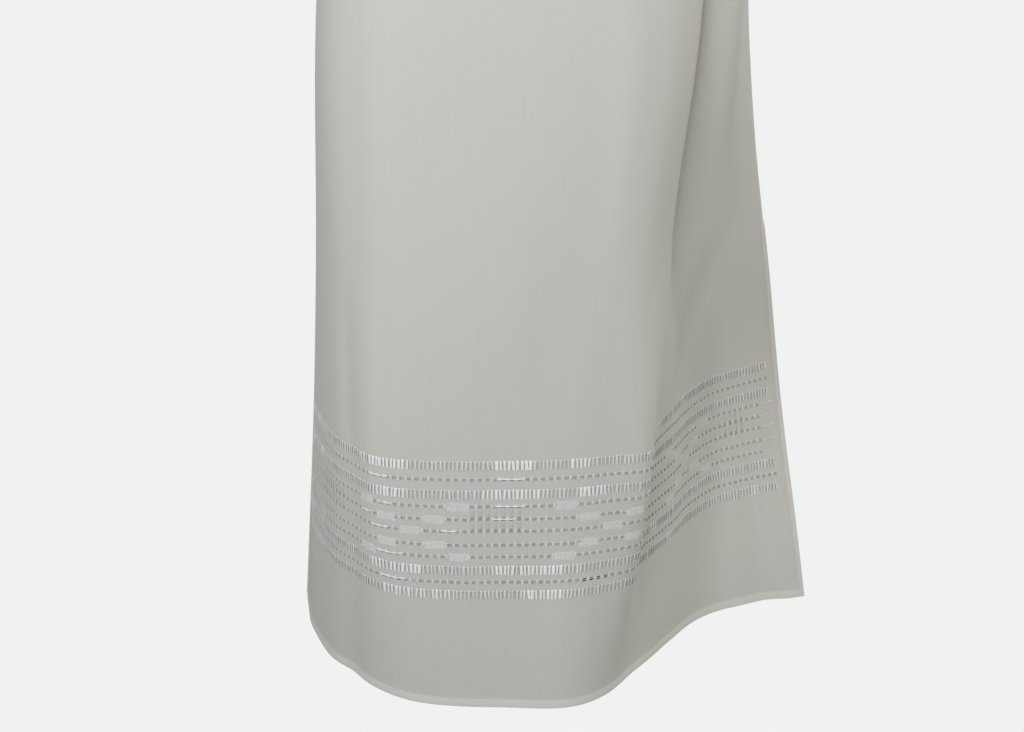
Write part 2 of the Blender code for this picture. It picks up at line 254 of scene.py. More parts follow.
def line_shares(side):
    """Each line's share of the panel's width, measured along the cloth at the hem."""
    places = line_places(side, np.zeros(1))[:, 0]
    travelled = np.concatenate([[0.0], np.cumsum(np.linalg.norm(np.diff(places, axis=0), axis=1))])
    return travelled / travelled[-1]


KNOTS = {side: line_shares(side) for side in SIDES}
print("front lines at shares", np.round(KNOTS["front"], 3))

# %% [markdown]
# ## Creases
#
# The imported model has the largest folds. Real cotton also has soft small ones, uneven in length, depth and
# spacing. Each row of this table is one of them: a long dent or ridge that fades out at both ends. Simulated
# cloth could make such folds too, but folds set one by one stay where the photograph shows them.

# %% Table of small creases
# place and width are shares of the panel's width, bottom and top are heights, depth is outward.
CREASE_COLUMNS = ("place", "width", "depth", "bottom", "top", "lean")
CREASES = {
    "front": [
        (0.245, 0.018, -0.0024, 0.20, 0.50, 0.012),
        (0.320, 0.034, 0.0030, 0.10, 1.02, -0.030),
        (0.300, 0.020, 0.0012, -0.10, 0.62, -0.006),
        (0.520, 0.026, -0.0030, 0.22, 0.60, 0.050),
        (0.600, 0.030, 0.0034, 0.26, 0.98, 0.020),
        (0.420, 0.040, -0.0024, 0.36, 0.92, 0.010),
        (0.430, 0.020, 0.0012, -0.12, 0.44, -0.008),
        (0.500, 0.016, -0.0011, 0.30, 0.64, 0.012),
        (0.585, 0.018, 0.0010, 0.34, 0.95, -0.008),
        (0.620, 0.014, -0.0010, -0.10, 0.36, 0.010),
        (0.695, 0.048, -0.0195, -0.08, 0.42, 0.080),
        (0.630, 0.030, 0.0030, -0.10, 0.40, 0.070),
        (0.815, 0.026, -0.0085, 0.24, 1.00, 0.010),
        (0.745, 0.030, 0.0035, 0.36, 1.00, 0.020),
        (0.915, 0.030, 0.0050, 0.44, 1.00, 0.000),
        (0.850, 0.028, -0.0036, 0.18, 0.52, 0.260),
        (0.895, 0.034, -0.0075, -0.14, 0.50, 0.020),
        (1.000, 0.050, 0.0050, 0.12, 0.56, 0.000),
        (1.000, 0.050, 0.0050, -0.16, 0.34, 0.000),
        (0.100, 0.018, 0.0018, -0.10, 0.45, 0.008),
        (0.060, 0.014, -0.0016, 0.10, 0.66, 0.010),
        (0.345, 0.030, -0.0016, 0.70, 1.04, 0.020),
        (0.640, 0.030, -0.0016, 0.74, 1.03, -0.020),
    ],
    "back": [
        (0.070, 0.016, 0.0018, 0.10, 0.60, 0.010),
        (0.180, 0.020, -0.0024, -0.10, 0.52, 0.012),
        (0.290, 0.018, 0.0016, 0.18, 0.78, -0.010),
        (0.420, 0.018, -0.0018, -0.12, 0.58, 0.008),
        (0.540, 0.020, 0.0016, 0.26, 0.86, 0.010),
        (0.660, 0.016, -0.0020, -0.10, 0.66, -0.012),
        (0.790, 0.018, 0.0018, 0.12, 0.70, -0.010),
        (0.930, 0.016, -0.0018, 0.06, 0.56, -0.010),
        (0.380, 0.034, -0.0018, 0.72, 1.05, 0.022),
        (0.620, 0.034, -0.0018, 0.70, 1.05, -0.022),
    ],
}
print("creases:", {side: len(rows) for side, rows in CREASES.items()})

# %% Table of the upper body's drag lines
# Each runs between two places in front view and fades out at both; depth is outward.
DRAG_COLUMNS = ("x", "height", "to_x", "to_height", "width", "depth")
DRAGS = {
    "front": [
        (0.166, 1.075, 0.074, 0.940, 0.011, -0.0048),
        (0.150, 1.110, 0.036, 0.985, 0.010, 0.0032),
        (-0.168, 1.070, -0.066, 0.925, 0.012, -0.0054),
        (-0.152, 1.112, -0.046, 1.000, 0.009, 0.0035),
        (0.046, 1.128, 0.060, 0.840, 0.014, 0.0051),
        (-0.014, 1.118, -0.004, 0.860, 0.013, -0.0038),
        (-0.060, 1.126, -0.074, 0.800, 0.015, 0.0054),
        (0.112, 1.000, 0.124, 0.760, 0.012, 0.0048),
        (-0.126, 0.985, -0.136, 0.720, 0.012, -0.0045),
        (0.014, 0.960, 0.026, 0.700, 0.013, -0.0032),
    ],
    "back": [
        (0.160, 1.085, 0.060, 0.970, 0.011, -0.0045),
        (-0.162, 1.080, -0.072, 0.950, 0.012, -0.0048),
        (0.078, 1.160, 0.092, 0.800, 0.016, 0.0058),
        (-0.084, 1.158, -0.100, 0.780, 0.015, 0.0054),
        (0.022, 1.180, 0.016, 0.860, 0.014, -0.0042),
        (-0.036, 1.170, -0.042, 0.820, 0.013, 0.0042),
        (0.134, 0.990, 0.146, 0.720, 0.012, -0.0045),
        (-0.140, 0.970, -0.150, 0.700, 0.012, 0.0045),
        (0.052, 0.900, 0.060, 0.660, 0.012, -0.0035),
    ],
}
print("drag lines:", {side: len(rows) for side, rows in DRAGS.items()})


# %% Offsets of the drag lines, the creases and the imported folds
def drag_offset(side, x, heights):
    """How far the drag lines push the cloth out, at places in front view."""
    offset = np.zeros_like(x)
    for drag in DRAGS[side]:
        row = dict(zip(DRAG_COLUMNS, drag))
        run = np.array([row["to_x"] - row["x"], row["to_height"] - row["height"]])
        length = np.linalg.norm(run)
        across, down = x - row["x"], heights - row["height"]
        share = np.clip((across * run[0] + down * run[1]) / length ** 2, 0, 1)
        aside = (across * run[1] - down * run[0]) / length
        offset += row["depth"] * np.sin(np.pi * share) ** 2 * np.exp(-(aside / row["width"]) ** 2)
    return offset


def crease_offset(side, shares, heights):
    """How far the small creases push the cloth out."""
    offset = np.zeros_like(shares)
    for crease in CREASES[side]:
        row = dict(zip(CREASE_COLUMNS, crease))
        up = np.clip((heights - row["bottom"]) / (row["top"] - row["bottom"]), 0, 1)
        fade = np.sin(np.pi * up) ** 2
        place = row["place"] + row["lean"] * (up - 0.5)
        offset += row["depth"] * fade * np.exp(-((shares - place) / row["width"]) ** 2)
    return offset


def fold_offset(side, shares, heights):
    """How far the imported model's folds push the cloth out."""
    offset = np.zeros_like(shares)
    for fold in FOLDS[side]:
        row = dict(zip(FOLD_COLUMNS, fold))
        growth = np.maximum(0.0, 1 - heights / row["top"]) ** FOLD_GROWTH
        place = row["place"] + row["lean"] * heights / row["top"]
        offset += row["depth"] * growth * np.exp(-((shares - place) / row["width"]) ** 2)
    free = np.minimum(shares, 1 - shares) / FOLD_FREE_EDGE
    return offset * np.minimum(1.0, free)


# %% The skirt's cloth
NEARBY_SHARE = 0.004
OUT = {"front": 1, "back": -1}


def skirt_base(side, shares, heights):
    """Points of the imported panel's inner face in plan, and the directions out of it."""
    places = line_places(side, heights)
    before = smooth_between(KNOTS[side], places, np.maximum(0.0, shares - NEARBY_SHARE))
    after = smooth_between(KNOTS[side], places, np.minimum(1.0, shares + NEARBY_SHARE))
    along = unit(after - before)
    outward = np.stack([along[:, 1], -along[:, 0]], axis=1) * OUT[side]
    base = smooth_between(KNOTS[side], places, shares)
    return base + outward * fold_offset(side, shares, heights)[:, None], outward


# %% [markdown]
# ## A ruler along the band
#
# The band's holes and bars are evenly spaced along the threads, not along the panel's shares. So the cloth is
# measured once, at the middle of the band, and every later piece asks this ruler where it lies.

# %% Ruler
BAND_MIDDLE = 0.197
RULER_MARKS = 3001
FRONT_MIDDLE_X = -0.020

RULER = {}
for side in SIDES:
    marks = np.linspace(0, 1, RULER_MARKS)
    plan, _ = skirt_base(side, marks, np.full(RULER_MARKS, BAND_MIDDLE))
    metres = np.concatenate([[0.0], np.cumsum(np.linalg.norm(np.diff(plan, axis=0), axis=1))])
    RULER[side] = {"share": marks, "metres": metres, "x": plan[:, 0], "length": metres[-1]}
    print(side, "panel is", round(metres[-1], 4), "m along the band")

# The place that the motifs are counted from
middle_mark = np.argmin(np.abs(RULER["front"]["x"] - FRONT_MIDDLE_X))
BAND_CENTRE = {
    "front": RULER["front"]["metres"][middle_mark],
    "back": RULER["back"]["length"] / 2,
}


def share_at(side, metres):
    return np.interp(metres, RULER[side]["metres"], RULER[side]["share"])


# %% The cloth's turned edges
# The hem's fold stands out a little, and less so near its two corners. Each slit edge is turned twice, with a
# groove beside it.
HEM_ROLL_HEIGHT = 0.0092
HEM_ROLL_OUT = 0.0012
HEM_CORNER = 0.020
HEM_CORNER_OUT = 0.3
SLIT_TURN = 0.0050
SLIT_TURN_OUT = 0.0005
SLIT_TOP_FADE = 0.010
GROOVE_WIDTH = 0.0010
GROOVE_DEPTH = 0.0006
SEAM_WIDTH = 0.0030
SEAM_DEPTH = 0.0009


def edge_offset(side, metres, heights):
    """The relief of the hem, the slit edges and the side seams."""
    roll = np.clip(1 - heights / HEM_ROLL_HEIGHT, 0, 1)
    inside = np.minimum(metres, RULER[side]["length"] - metres)
    share = HEM_CORNER_OUT + (1 - HEM_CORNER_OUT) * np.clip(inside / HEM_CORNER, 0, 1)
    offset = HEM_ROLL_OUT * share * np.sin(roll * np.pi / 2)
    below = np.clip((SLIT_HEIGHT - heights) / SLIT_TOP_FADE, 0, 1)
    turned = np.clip((SLIT_TURN + GROOVE_WIDTH - inside) / GROOVE_WIDTH, 0, 1)
    groove = np.exp(-((inside - SLIT_TURN - GROOVE_WIDTH) / GROOVE_WIDTH) ** 2)
    offset = offset + below * (SLIT_TURN_OUT * turned - GROOVE_DEPTH * groove)
    return offset - (1 - below) * SEAM_DEPTH * np.exp(-(inside / SEAM_WIDTH) ** 2)


def cloth(side, metres, heights, lift=0.0):
    """Points in the part's frame on the middle of the cloth, or lifted off it."""
    metres = np.asarray(metres, float)
    heights = np.asarray(heights, float)
    shares = share_at(side, metres)
    plan, outward = skirt_base(side, shares, heights)
    relief = crease_offset(side, shares, heights) + drag_offset(side, plan[:, 0], heights)
    out = WALL / 2 + relief + edge_offset(side, metres, heights) + lift
    plan = plan + outward * out[:, None]
    return np.column_stack([plan, heights - LENGTH])


print("front's right hem corner", np.round(cloth("front", [0.0], [0.0])[0], 4))

# %% [markdown]
# ## The upper body
#
# Above the chest the two panels round over to the shoulder seams. It could be sculpted, but a formula keeps
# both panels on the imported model's own curves. Here the cloth is known by its place in front view, and the
# formula gives its depth. The neckline is part of an ellipse, and the armhole is half an oval below and a
# short curve above.

# %% Outlines of the upper body
def shoulder_height(x):
    beyond = np.maximum(0.0, np.abs(x) - NECK_HALF_WIDTH) / (SHOULDER_TIP_X - NECK_HALF_WIDTH)
    return LENGTH - SHOULDER_DROP * beyond


def upper_body(side, x, height):
    """Points over the chest or the upper back, from their places in front view."""
    top = dict(zip(SECTION_COLUMNS, SECTIONS[-1]))
    share = np.clip((height - CHEST_HEIGHT) / (shoulder_height(x) - CHEST_HEIGHT), 0.0, 1.0)
    power, roundness = ROUNDING[side]
    over = np.maximum(0.0, 1 - share ** power) ** roundness
    across = np.sqrt(np.maximum(0.0, 1 - (x / top["half_width"]) ** 2))
    return np.stack([x, top[side + "_y"] * across * over, height], axis=-1)


def underarm_height(y):
    share = np.minimum(1.0, np.abs(y) / ARMHOLE_HALF_DEPTH)
    return UNDERARM_HEIGHT + ARMHOLE_LOWER_HEIGHT * (1 - np.sqrt(1 - share * share))


def armhole_at(share, corner):
    """The armhole's outline in front view, from its lower corner to the shoulder tip."""
    shares = [0.0] + [row[0] for row in ARMHOLE]
    return smooth_between(shares, [corner] + [row[1:] for row in ARMHOLE], np.array([share]))[0]


def neck_at(side, angle):
    return np.array([NECK_HALF_WIDTH * math.cos(angle), LENGTH - NECK_DROP[side] * math.sin(angle)])


print("shoulder tips", round(float(shoulder_height(SHOULDER_TIP_X)), 3), "m above the hem")

# %% Rows of the chest and the straps
CHEST_ROWS = 16
STRAP_ROWS = 14
STRAP_CROWDING = 1.6


def neck_row(side, corner, strap, last):
    """The row in front view that runs along the bottom of the neckline."""
    edge = armhole_at(NECK_ROW_SHARE, corner)
    neck = neck_at(side, NECK_TURN)
    row = []
    for j in range(last + 1):
        near = min(j, last - j)
        if near <= strap:
            x, height = edge + (neck - edge) * near / strap
        else:
            turn = NECK_TURN + (math.pi / 2 - NECK_TURN) * (near - strap) / (last / 2 - strap)
            x, height = neck_at(side, turn)
        row.append((-x if j < last - j else x, height))
    return np.array(row)


def chest_grid(side, first_row, strap):
    """Rows from one armhole to the other, from the chest up to the neckline's row."""
    last = len(first_row) - 1
    corner = first_row[last][[0, 2]]
    goal = neck_row(side, corner, strap, last)
    rows = [first_row]
    for k in range(1, CHEST_ROWS + 1):
        t = k / CHEST_ROWS
        edge = armhole_at(NECK_ROW_SHARE * t, corner)
        straight = corner[1] + (goal[last][1] - corner[1]) * t
        across = first_row[:, 0] / corner[0] * (1 - t) + goal[:, 0] / goal[last][0] * t
        height = first_row[:, 2] * (1 - t) + goal[:, 1] * t
        height = height + (edge[1] - straight) * np.abs(across) ** ARMHOLE_PULL
        rows.append(upper_body(side, across * edge[0], height))
    return np.array(rows)


def strap_grid(side, corner, strap):
    """Rows of the left shoulder strap, each from the armhole to the neckline."""
    rows = []
    for k in range(STRAP_ROWS + 1):
        t = 1 - (1 - k / STRAP_ROWS) ** STRAP_CROWDING
        edge = armhole_at(NECK_ROW_SHARE + (1 - NECK_ROW_SHARE) * t, corner)
        neck = neck_at(side, NECK_TURN * (1 - t))
        places = edge + (neck - edge) * np.linspace(0, 1, strap + 1)[:, None]
        heights = np.minimum(places[:, 1], shoulder_height(places[:, 0]))
        rows.append(upper_body(side, places[:, 0], heights))
    return np.array(rows)


def lift_off(grid, out):
    """Moves a grid of points outward, along its own normals."""
    normals = unit(np.cross(np.gradient(grid, axis=1), np.gradient(grid, axis=0)))
    return grid + normals * out


# %% [markdown]
# ## The band's chart
#
# The band is eleven rows, charted from its look: rows of satin bars, rows of small holes, and five
# hole rows that carry raised blocks. The blocks step outward and back, so that they draw wide crosses. It is
# the usual geometric openwork of hand-loomed cotton.

# %% Rows and motifs of the band
# Each row has its number from the top, its kind, and the height of its middle.
BAND = [
    (1, "bars", 0.268),
    (2, "holes", 0.253),
    (3, "bars", 0.237),
    (4, "holes", 0.224),
    (5, "holes", 0.210),
    (6, "holes", 0.197),
    (7, "holes", 0.182),
    (8, "holes", 0.169),
    (9, "bars", 0.154),
    (10, "holes", 0.141),
    (11, "bars", 0.127),
]
ROW_HEIGHT = {row: height for row, kind, height in BAND}
BAR_ROWS = [row for row, kind, height in BAND if kind == "bars"]
HOLE_ROWS = [row for row, kind, height in BAND if kind == "holes"]
MOTIF_ROWS = (4, 5, 6, 7, 8)

BAR_OPENING = 0.0078
BAR_PITCH = 0.00415
HOLE_PITCH = 0.0077
HOLE_WIDTH = 0.0049
HOLE_HEIGHT = 0.0037
BAND_MARGIN = 0.015
MOTIF_MARGIN = 0.036

# A motif is a cross of nine blocks. Each has its row and its step, counted in blocks from the motif's middle.
MOTIF_PERIOD = 0.205
BLOCK_STEP = 0.0245
BLOCK_WIDTH = 0.0215
BLOCK_HEIGHT = 0.0102
BLOCK_COVERS = 0.7
MOTIF = [(4, -2), (4, 2), (5, -1), (5, 1), (6, 0), (7, -1), (7, 1), (8, -2), (8, 2)]
MOTIFS_FROM_MIDDLE = (-1.5, -0.5, 0.5, 1.5)


def blocks_of(side):
    """(row, metres along the band) of each raised block of a panel."""
    found = []
    for count in MOTIFS_FROM_MIDDLE:
        centre = BAND_CENTRE[side] + count * MOTIF_PERIOD
        for row, step in MOTIF:
            place = centre + step * BLOCK_STEP
            room = MOTIF_MARGIN + BLOCK_WIDTH / 2
            if room < place < RULER[side]["length"] - room:
                found.append((row, place))
    return found


BLOCKS = {side: blocks_of(side) for side in SIDES}
print("blocks:", {side: len(found) for side, found in BLOCKS.items()})


# %% Questions to the chart
def under_block(side, row, metres, share=BLOCK_COVERS):
    """True where a block covers this place of a row."""
    return any(r == row and abs(metres - place) < BLOCK_WIDTH / 2 * share for r, place in BLOCKS[side])


def in_row(side, row, metres):
    """True where a hole row reaches this place. The rows with blocks stop short of the slits."""
    margin = MOTIF_MARGIN if row in MOTIF_ROWS else 0.0
    return margin < metres < RULER[side]["length"] - margin


def half_opening(kind):
    return (BAR_OPENING if kind == "bars" else HOLE_HEIGHT) / 2


# %% Columns and rows of a panel's mesh
# Below the slit's top, rows follow the band's own heights. Columns are hole, bridge, hole, bridge.
EDGE_COLUMNS = (0.0, 0.0007, 0.0022, 0.0040, 0.0049, 0.0056, 0.0066, 0.0085, 0.0115)
HEM_ROWS = (0.0, 0.0010, 0.0030, 0.0060, 0.0088, 0.0098, 0.014, 0.022, 0.032, 0.044, 0.054,
            0.0595, 0.0610, 0.0625, 0.070, 0.082, 0.096, 0.110, 0.118)
ROWS_ABOVE_BAND = 20
ROWS_ABOVE_SLIT = 44


def band_columns(side):
    """Where the mesh's columns lie along the band, and the first and last that the band fills."""
    length = RULER[side]["length"]
    count = int((length - 2 * BAND_MARGIN) / HOLE_PITCH)
    bridge = HOLE_PITCH - HOLE_WIDTH
    start = (length - count * HOLE_PITCH + bridge) / 2
    places = list(EDGE_COLUMNS)
    first = len(places)
    for k in range(count):
        places += [start + k * HOLE_PITCH, start + k * HOLE_PITCH + HOLE_WIDTH]
    last = len(places) - 1
    places += [length - place for place in reversed(EDGE_COLUMNS)]
    return np.array(places), first, last


def skirt_heights():
    """Heights of the mesh's rows up to the slit's top, and the mesh row where each band row starts."""
    pairs = {}
    for row, kind, height in BAND:
        half = half_opening(kind)
        pairs[row] = (height - half, height + half)
    band = sorted(value for pair in pairs.values() for value in pair)
    above = np.linspace(band[-1], SLIT_HEIGHT, ROWS_ABOVE_BAND + 1)[1:]
    heights = np.array(list(HEM_ROWS) + band + list(above))
    starts = {int(np.argmin(np.abs(heights - low))): row for row, (low, high) in pairs.items()}
    return heights, starts


print("rows up to the slit's top:", len(skirt_heights()[0]))

# %% [markdown]
# ## Two panels of thin cloth
#
# Each panel is one mesh with the band's openings really cut in it: a hole is a rounded outline inside its
# cell, and a bar row is one long opening that the bars cross later. A see-through pattern in the finish would
# be quicker, but it has no edges and is lost where only the mesh is kept.

# %% A mesh from points and faces
def sharpen_borders(mesh):
    """Keeps the shading of a cloth's face apart from that of its cut edge."""
    edges = np.empty(len(mesh.loops), dtype=np.int32)
    mesh.loops.foreach_get("edge_index", edges)
    mesh.edges.foreach_set("use_edge_sharp", np.bincount(edges, minlength=len(mesh.edges)) == 1)


def mesh_object(name, points, faces, uvs, material):
    mesh = bpy.data.meshes.new(name)
    mesh.from_pydata(np.asarray(points).tolist(), [], faces)
    corners = np.empty(len(mesh.loops), dtype=np.int32)
    mesh.loops.foreach_get("vertex_index", corners)
    layer = mesh.uv_layers.new(name="threads")
    layer.data.foreach_set("uv", np.asarray(uvs, dtype=np.float32)[corners].ravel())
    mesh.materials.append(material)
    mesh.shade_smooth()
    sharpen_borders(mesh)
    made = bpy.data.objects.new(name, mesh)
    scene.collection.objects.link(made)
    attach(made, "root")
    return made


def grid_faces(rows, columns, start=0):
    """Faces of a grid of points that was laid row by row."""
    points = start + np.arange(rows * columns).reshape(rows, columns)
    corners = [points[:-1, :-1], points[:-1, 1:], points[1:, 1:], points[1:, :-1]]
    return np.stack(corners, axis=-1).reshape(-1, 4).tolist()


def face_out(side, faces):
    """The same faces, looking out of the dress on either side of it."""
    return faces if side == "front" else [face[::-1] for face in faces]


# %% A rounded hole in a cell
HOLE_INSET = 0.04
HOLE_CORNER = (0.20, 0.28)
HOLE_UNEVEN = 0.03
HOLE_SIZES = (0.90, 1.0)

# One seeded source of all unevenness, so that each run gives the same dress
rng = np.random.default_rng(11)


def hole_outline():
    """Eight places in a cell, from 0 to 1 both ways, a little uneven from hole to hole."""
    e = HOLE_INSET
    a, b = HOLE_CORNER
    outline = np.array([(a, e), (1 - a, e), (1 - e, b), (1 - e, 1 - b),
                        (1 - a, 1 - e), (a, 1 - e), (e, 1 - b), (e, b)])
    uneven = rng.uniform(-HOLE_UNEVEN, HOLE_UNEVEN, outline.shape)
    size = rng.uniform(*HOLE_SIZES)
    return (outline + uneven - 0.5) * size + 0.5


def cut_hole(points, uvs, faces, corners):
    """Adds the faces round a hole inside one cell whose four corners are given."""
    first = len(points)
    for s, t in hole_outline():
        weights = ((1 - s) * (1 - t), s * (1 - t), s * t, (1 - s) * t)
        points.append(sum(w * np.asarray(points[i]) for w, i in zip(weights, corners)))
        uvs.append(sum(w * np.asarray(uvs[i]) for w, i in zip(weights, corners)))
    for edge in range(4):
        p, q = corners[edge], corners[(edge + 1) % 4]
        low = first + 2 * edge
        faces.append([p, q, low + 1, low])
        faces.append([q, first + (2 * edge + 2) % 8, low + 1])


# %% A panel's grid
class Panel:
    """The points of one panel, keyed by row and column, and the borders that its edges follow."""

    def __init__(self, side):
        self.side = side
        self.metres, self.first, self.last = band_columns(side)
        self.columns = len(self.metres) - 1
        self.shares = share_at(side, self.metres)
        corner = UNDERARM_SHARE[side]
        self.right_corner = int(np.argmin(np.abs(self.shares - corner)))
        self.left_corner = int(np.argmin(np.abs(self.shares - (1 - corner))))
        self.strap = round(self.columns * STRAP_SHARE) - self.right_corner
        self.right_neck = self.right_corner + self.strap
        self.left_neck = self.left_corner - self.strap
        self.points = []
        self.uvs = []
        self.index = {}
        self.lay_skirt()
        self.lay_upper_body()

    def put(self, row, column, point, uv):
        self.index[row, column] = len(self.points)
        self.points.append(point)
        self.uvs.append(uv)

    def lay_skirt(self):
        side = self.side
        below, self.open_rows = skirt_heights()
        chest_plan, _ = skirt_base(side, self.shares, np.full(self.columns + 1, CHEST_HEIGHT))
        tops = np.minimum(CHEST_HEIGHT, underarm_height(chest_plan[:, 1]))
        rows = [np.full(self.columns + 1, height) for height in below]
        for t in np.linspace(0, 1, ROWS_ABOVE_SLIT + 1)[1:]:
            rows.append(SLIT_HEIGHT + (tops - SLIT_HEIGHT) * t)
        heights = np.array(rows)
        metres = np.tile(self.metres, (len(rows), 1))
        points = cloth(side, metres.ravel(), heights.ravel()).reshape(*heights.shape, 3)
        for k in range(len(rows)):
            for j in range(self.columns + 1):
                self.put(k, j, points[k, j], (metres[k, j], heights[k, j]))
        self.chest = len(rows) - 1
        self.tops = tops

    def lay_upper_body(self):
        side = self.side
        inner = np.arange(self.right_corner, self.left_corner + 1)
        plan, _ = skirt_base(side, self.shares[inner], self.tops[inner])
        first = np.column_stack([plan, self.tops[inner]])
        chest = chest_grid(side, first, self.strap)
        straps = strap_grid(side, first[-1][[0, 2]], self.strap)
        relief = WALL / 2 + drag_offset(side, chest[..., 0], chest[..., 2])
        chest = lift_off(chest, relief[..., None] * OUT[side]) - (0, 0, LENGTH)
        for k in range(1, CHEST_ROWS + 1):
            for i, j in enumerate(inner):
                self.put(self.chest + k, int(j), chest[k, i], (self.metres[j], chest[k, i, 2] + LENGTH))
        self.top = self.chest + CHEST_ROWS
        self.shoulder = self.top + STRAP_ROWS
        to_seam = np.linalg.norm(straps - straps[-1], axis=-1)
        relief = WALL / 2 - SEAM_DEPTH * np.exp(-(to_seam / SEAM_WIDTH) ** 2)
        left = lift_off(straps, -relief[..., None] * OUT[side]) - (0, 0, LENGTH)
        for k in range(1, STRAP_ROWS + 1):
            for i in range(self.strap + 1):
                point = left[k, i]
                height = point[2] + LENGTH + k / STRAP_ROWS * SHOULDER_DROP
                for j, place in ((self.left_corner - i, point), (self.right_corner + i, point * (-1, 1, 1))):
                    self.put(self.top + k, j, place, (self.metres[j], height))

    def cell_is_hole(self, k, j):
        row = self.open_rows.get(k)
        if row is None or not self.first <= j < self.last or (j - self.first) % 2:
            return False
        middle = (self.metres[j] + self.metres[j + 1]) / 2
        if row in BAR_ROWS or under_block(self.side, row, middle):
            return False
        return in_row(self.side, row, middle)

    def faces(self):
        faces = []
        for k in range(self.shoulder):
            for j in range(self.columns):
                corners = [(k, j), (k, j + 1), (k + 1, j + 1), (k + 1, j)]
                in_neck = k >= self.top and self.right_neck <= j < self.left_neck
                if in_neck or any(corner not in self.index for corner in corners):
                    continue
                if self.open_rows.get(k) in BAR_ROWS and self.first <= j < self.last:
                    continue
                found = [self.index[corner] for corner in corners]
                if self.cell_is_hole(k, j):
                    cut_hole(self.points, self.uvs, faces, found)
                else:
                    faces.append(found)
        return face_out(self.side, faces)

    def neck_border(self):
        """Keys of the neckline, from the wearer's right shoulder to the left one."""
        right = [(k, self.right_neck) for k in range(self.shoulder, self.top, -1)]
        under = [(self.top, j) for j in range(self.right_neck, self.left_neck + 1)]
        left = [(k, self.left_neck) for k in range(self.top + 1, self.shoulder + 1)]
        return right + under + left

    def armhole_border(self, hand):
        """Keys of the armhole, from the underarm to the shoulder tip."""
        corner = self.right_corner if hand == "right" else self.left_corner
        below = range(corner) if hand == "right" else range(self.columns, corner, -1)
        return [(self.chest, j) for j in below] + [(k, corner) for k in range(self.chest, self.shoulder + 1)]

    def at(self, keys):
        return np.array([self.points[self.index[key]] for key in keys])


PANELS = {side: Panel(side) for side in SIDES}
print("columns:", {side: panel.columns for side, panel in PANELS.items()})

# %% [markdown]
# ## Cotton and thread finishes
#
# Fine cotton is matt, with a faint sheen at the turn of a fold, and a little light comes through it. Its
# millions of threads are finer than the picture can show, so the weave isn't modelled but is a bump at its
# true pitch. Uneven threads give faint streaks up and across the cloth. The patterns read the mesh's own
# thread map, which counts metres along and up the cloth, so that they bend with every fold.

# %% Parts that the finishes share
# Blender's wave texture repeats at this length when its scale is 1.
WAVE_LENGTH_AT_ONE = math.pi / 10


def finish(name, colour, roughness):
    made = bpy.data.materials.new(name)
    made.use_nodes = True
    shader = made.node_tree.nodes["Principled BSDF"]
    shader.inputs["Base Color"].default_value = (*colour, 1)
    shader.inputs["Roughness"].default_value = roughness
    return made, shader


def add_node(material, kind, **values):
    node = material.node_tree.nodes.new(kind)
    for key, value in values.items():
        setattr(node, key, value)
    return node


def thread_map(material, scale):
    """The mesh's thread map, in metres along and up the cloth, times a scale."""
    source = add_node(material, "ShaderNodeUVMap", uv_map="threads")
    mapping = add_node(material, "ShaderNodeMapping")
    mapping.inputs["Scale"].default_value = scale
    material.node_tree.links.new(source.outputs["UV"], mapping.inputs["Vector"])
    return mapping.outputs["Vector"]


def wave(material, direction, pitch, distortion=0.0, scale=(1, 1, 1)):
    """Soft parallel threads: the height of one thread after another, a pitch apart."""
    node = add_node(material, "ShaderNodeTexWave", bands_direction=direction)
    node.inputs["Scale"].default_value = WAVE_LENGTH_AT_ONE / pitch
    node.inputs["Distortion"].default_value = distortion
    material.node_tree.links.new(thread_map(material, scale), node.inputs["Vector"])
    return node.outputs["Fac"]


def noise(material, scale, detail=2.0):
    node = add_node(material, "ShaderNodeTexNoise")
    node.inputs["Scale"].default_value = 1.0
    node.inputs["Detail"].default_value = detail
    material.node_tree.links.new(thread_map(material, scale), node.inputs["Vector"])
    return node.outputs["Fac"]


# %% Mixing patterns, colours and light
def combine(material, operation, a, b):
    node = add_node(material, "ShaderNodeMath", operation=operation)
    for socket, value in zip(node.inputs, (a, b)):
        if isinstance(value, float):
            socket.default_value = value
        else:
            material.node_tree.links.new(value, socket)
    return node.outputs["Value"]


def weighted_sum(material, a, share_a, b, share_b):
    return combine(material, "ADD", combine(material, "MULTIPLY", a, share_a),
                   combine(material, "MULTIPLY", b, share_b))


def colour_between(material, shader, factor, dark, light, low, high):
    """Colours the surface from dark to light as factor goes from low to high."""
    node = add_node(material, "ShaderNodeValToRGB")
    ramp = node.color_ramp
    ramp.elements[0].position = low
    ramp.elements[0].color = (*dark, 1)
    ramp.elements[1].position = high
    ramp.elements[1].color = (*light, 1)
    material.node_tree.links.new(factor, node.inputs["Fac"])
    material.node_tree.links.new(node.outputs["Color"], shader.inputs["Base Color"])


def add_bump(material, shader, height, distance, strength):
    bump = add_node(material, "ShaderNodeBump")
    bump.inputs["Distance"].default_value = distance
    bump.inputs["Strength"].default_value = strength
    material.node_tree.links.new(height, bump.inputs["Height"])
    material.node_tree.links.new(bump.outputs["Normal"], shader.inputs["Normal"])


def let_light_through(material, shader, colour, share):
    """Mixes in the light that falls on the cloth's other side."""
    through = add_node(material, "ShaderNodeBsdfTranslucent")
    through.inputs["Color"].default_value = (*colour, 1)
    mix = add_node(material, "ShaderNodeMixShader")
    mix.inputs["Fac"].default_value = share
    links = material.node_tree.links
    links.new(shader.outputs["BSDF"], mix.inputs[1])
    links.new(through.outputs["BSDF"], mix.inputs[2])
    links.new(mix.outputs["Shader"], material.node_tree.nodes["Material Output"].inputs["Surface"])


# %% Plain cotton
WEAVE_PITCH = 0.00045
THROUGH_COLOUR = (0.66, 0.64, 0.56)
COTTON_ROUGHNESS = 0.82


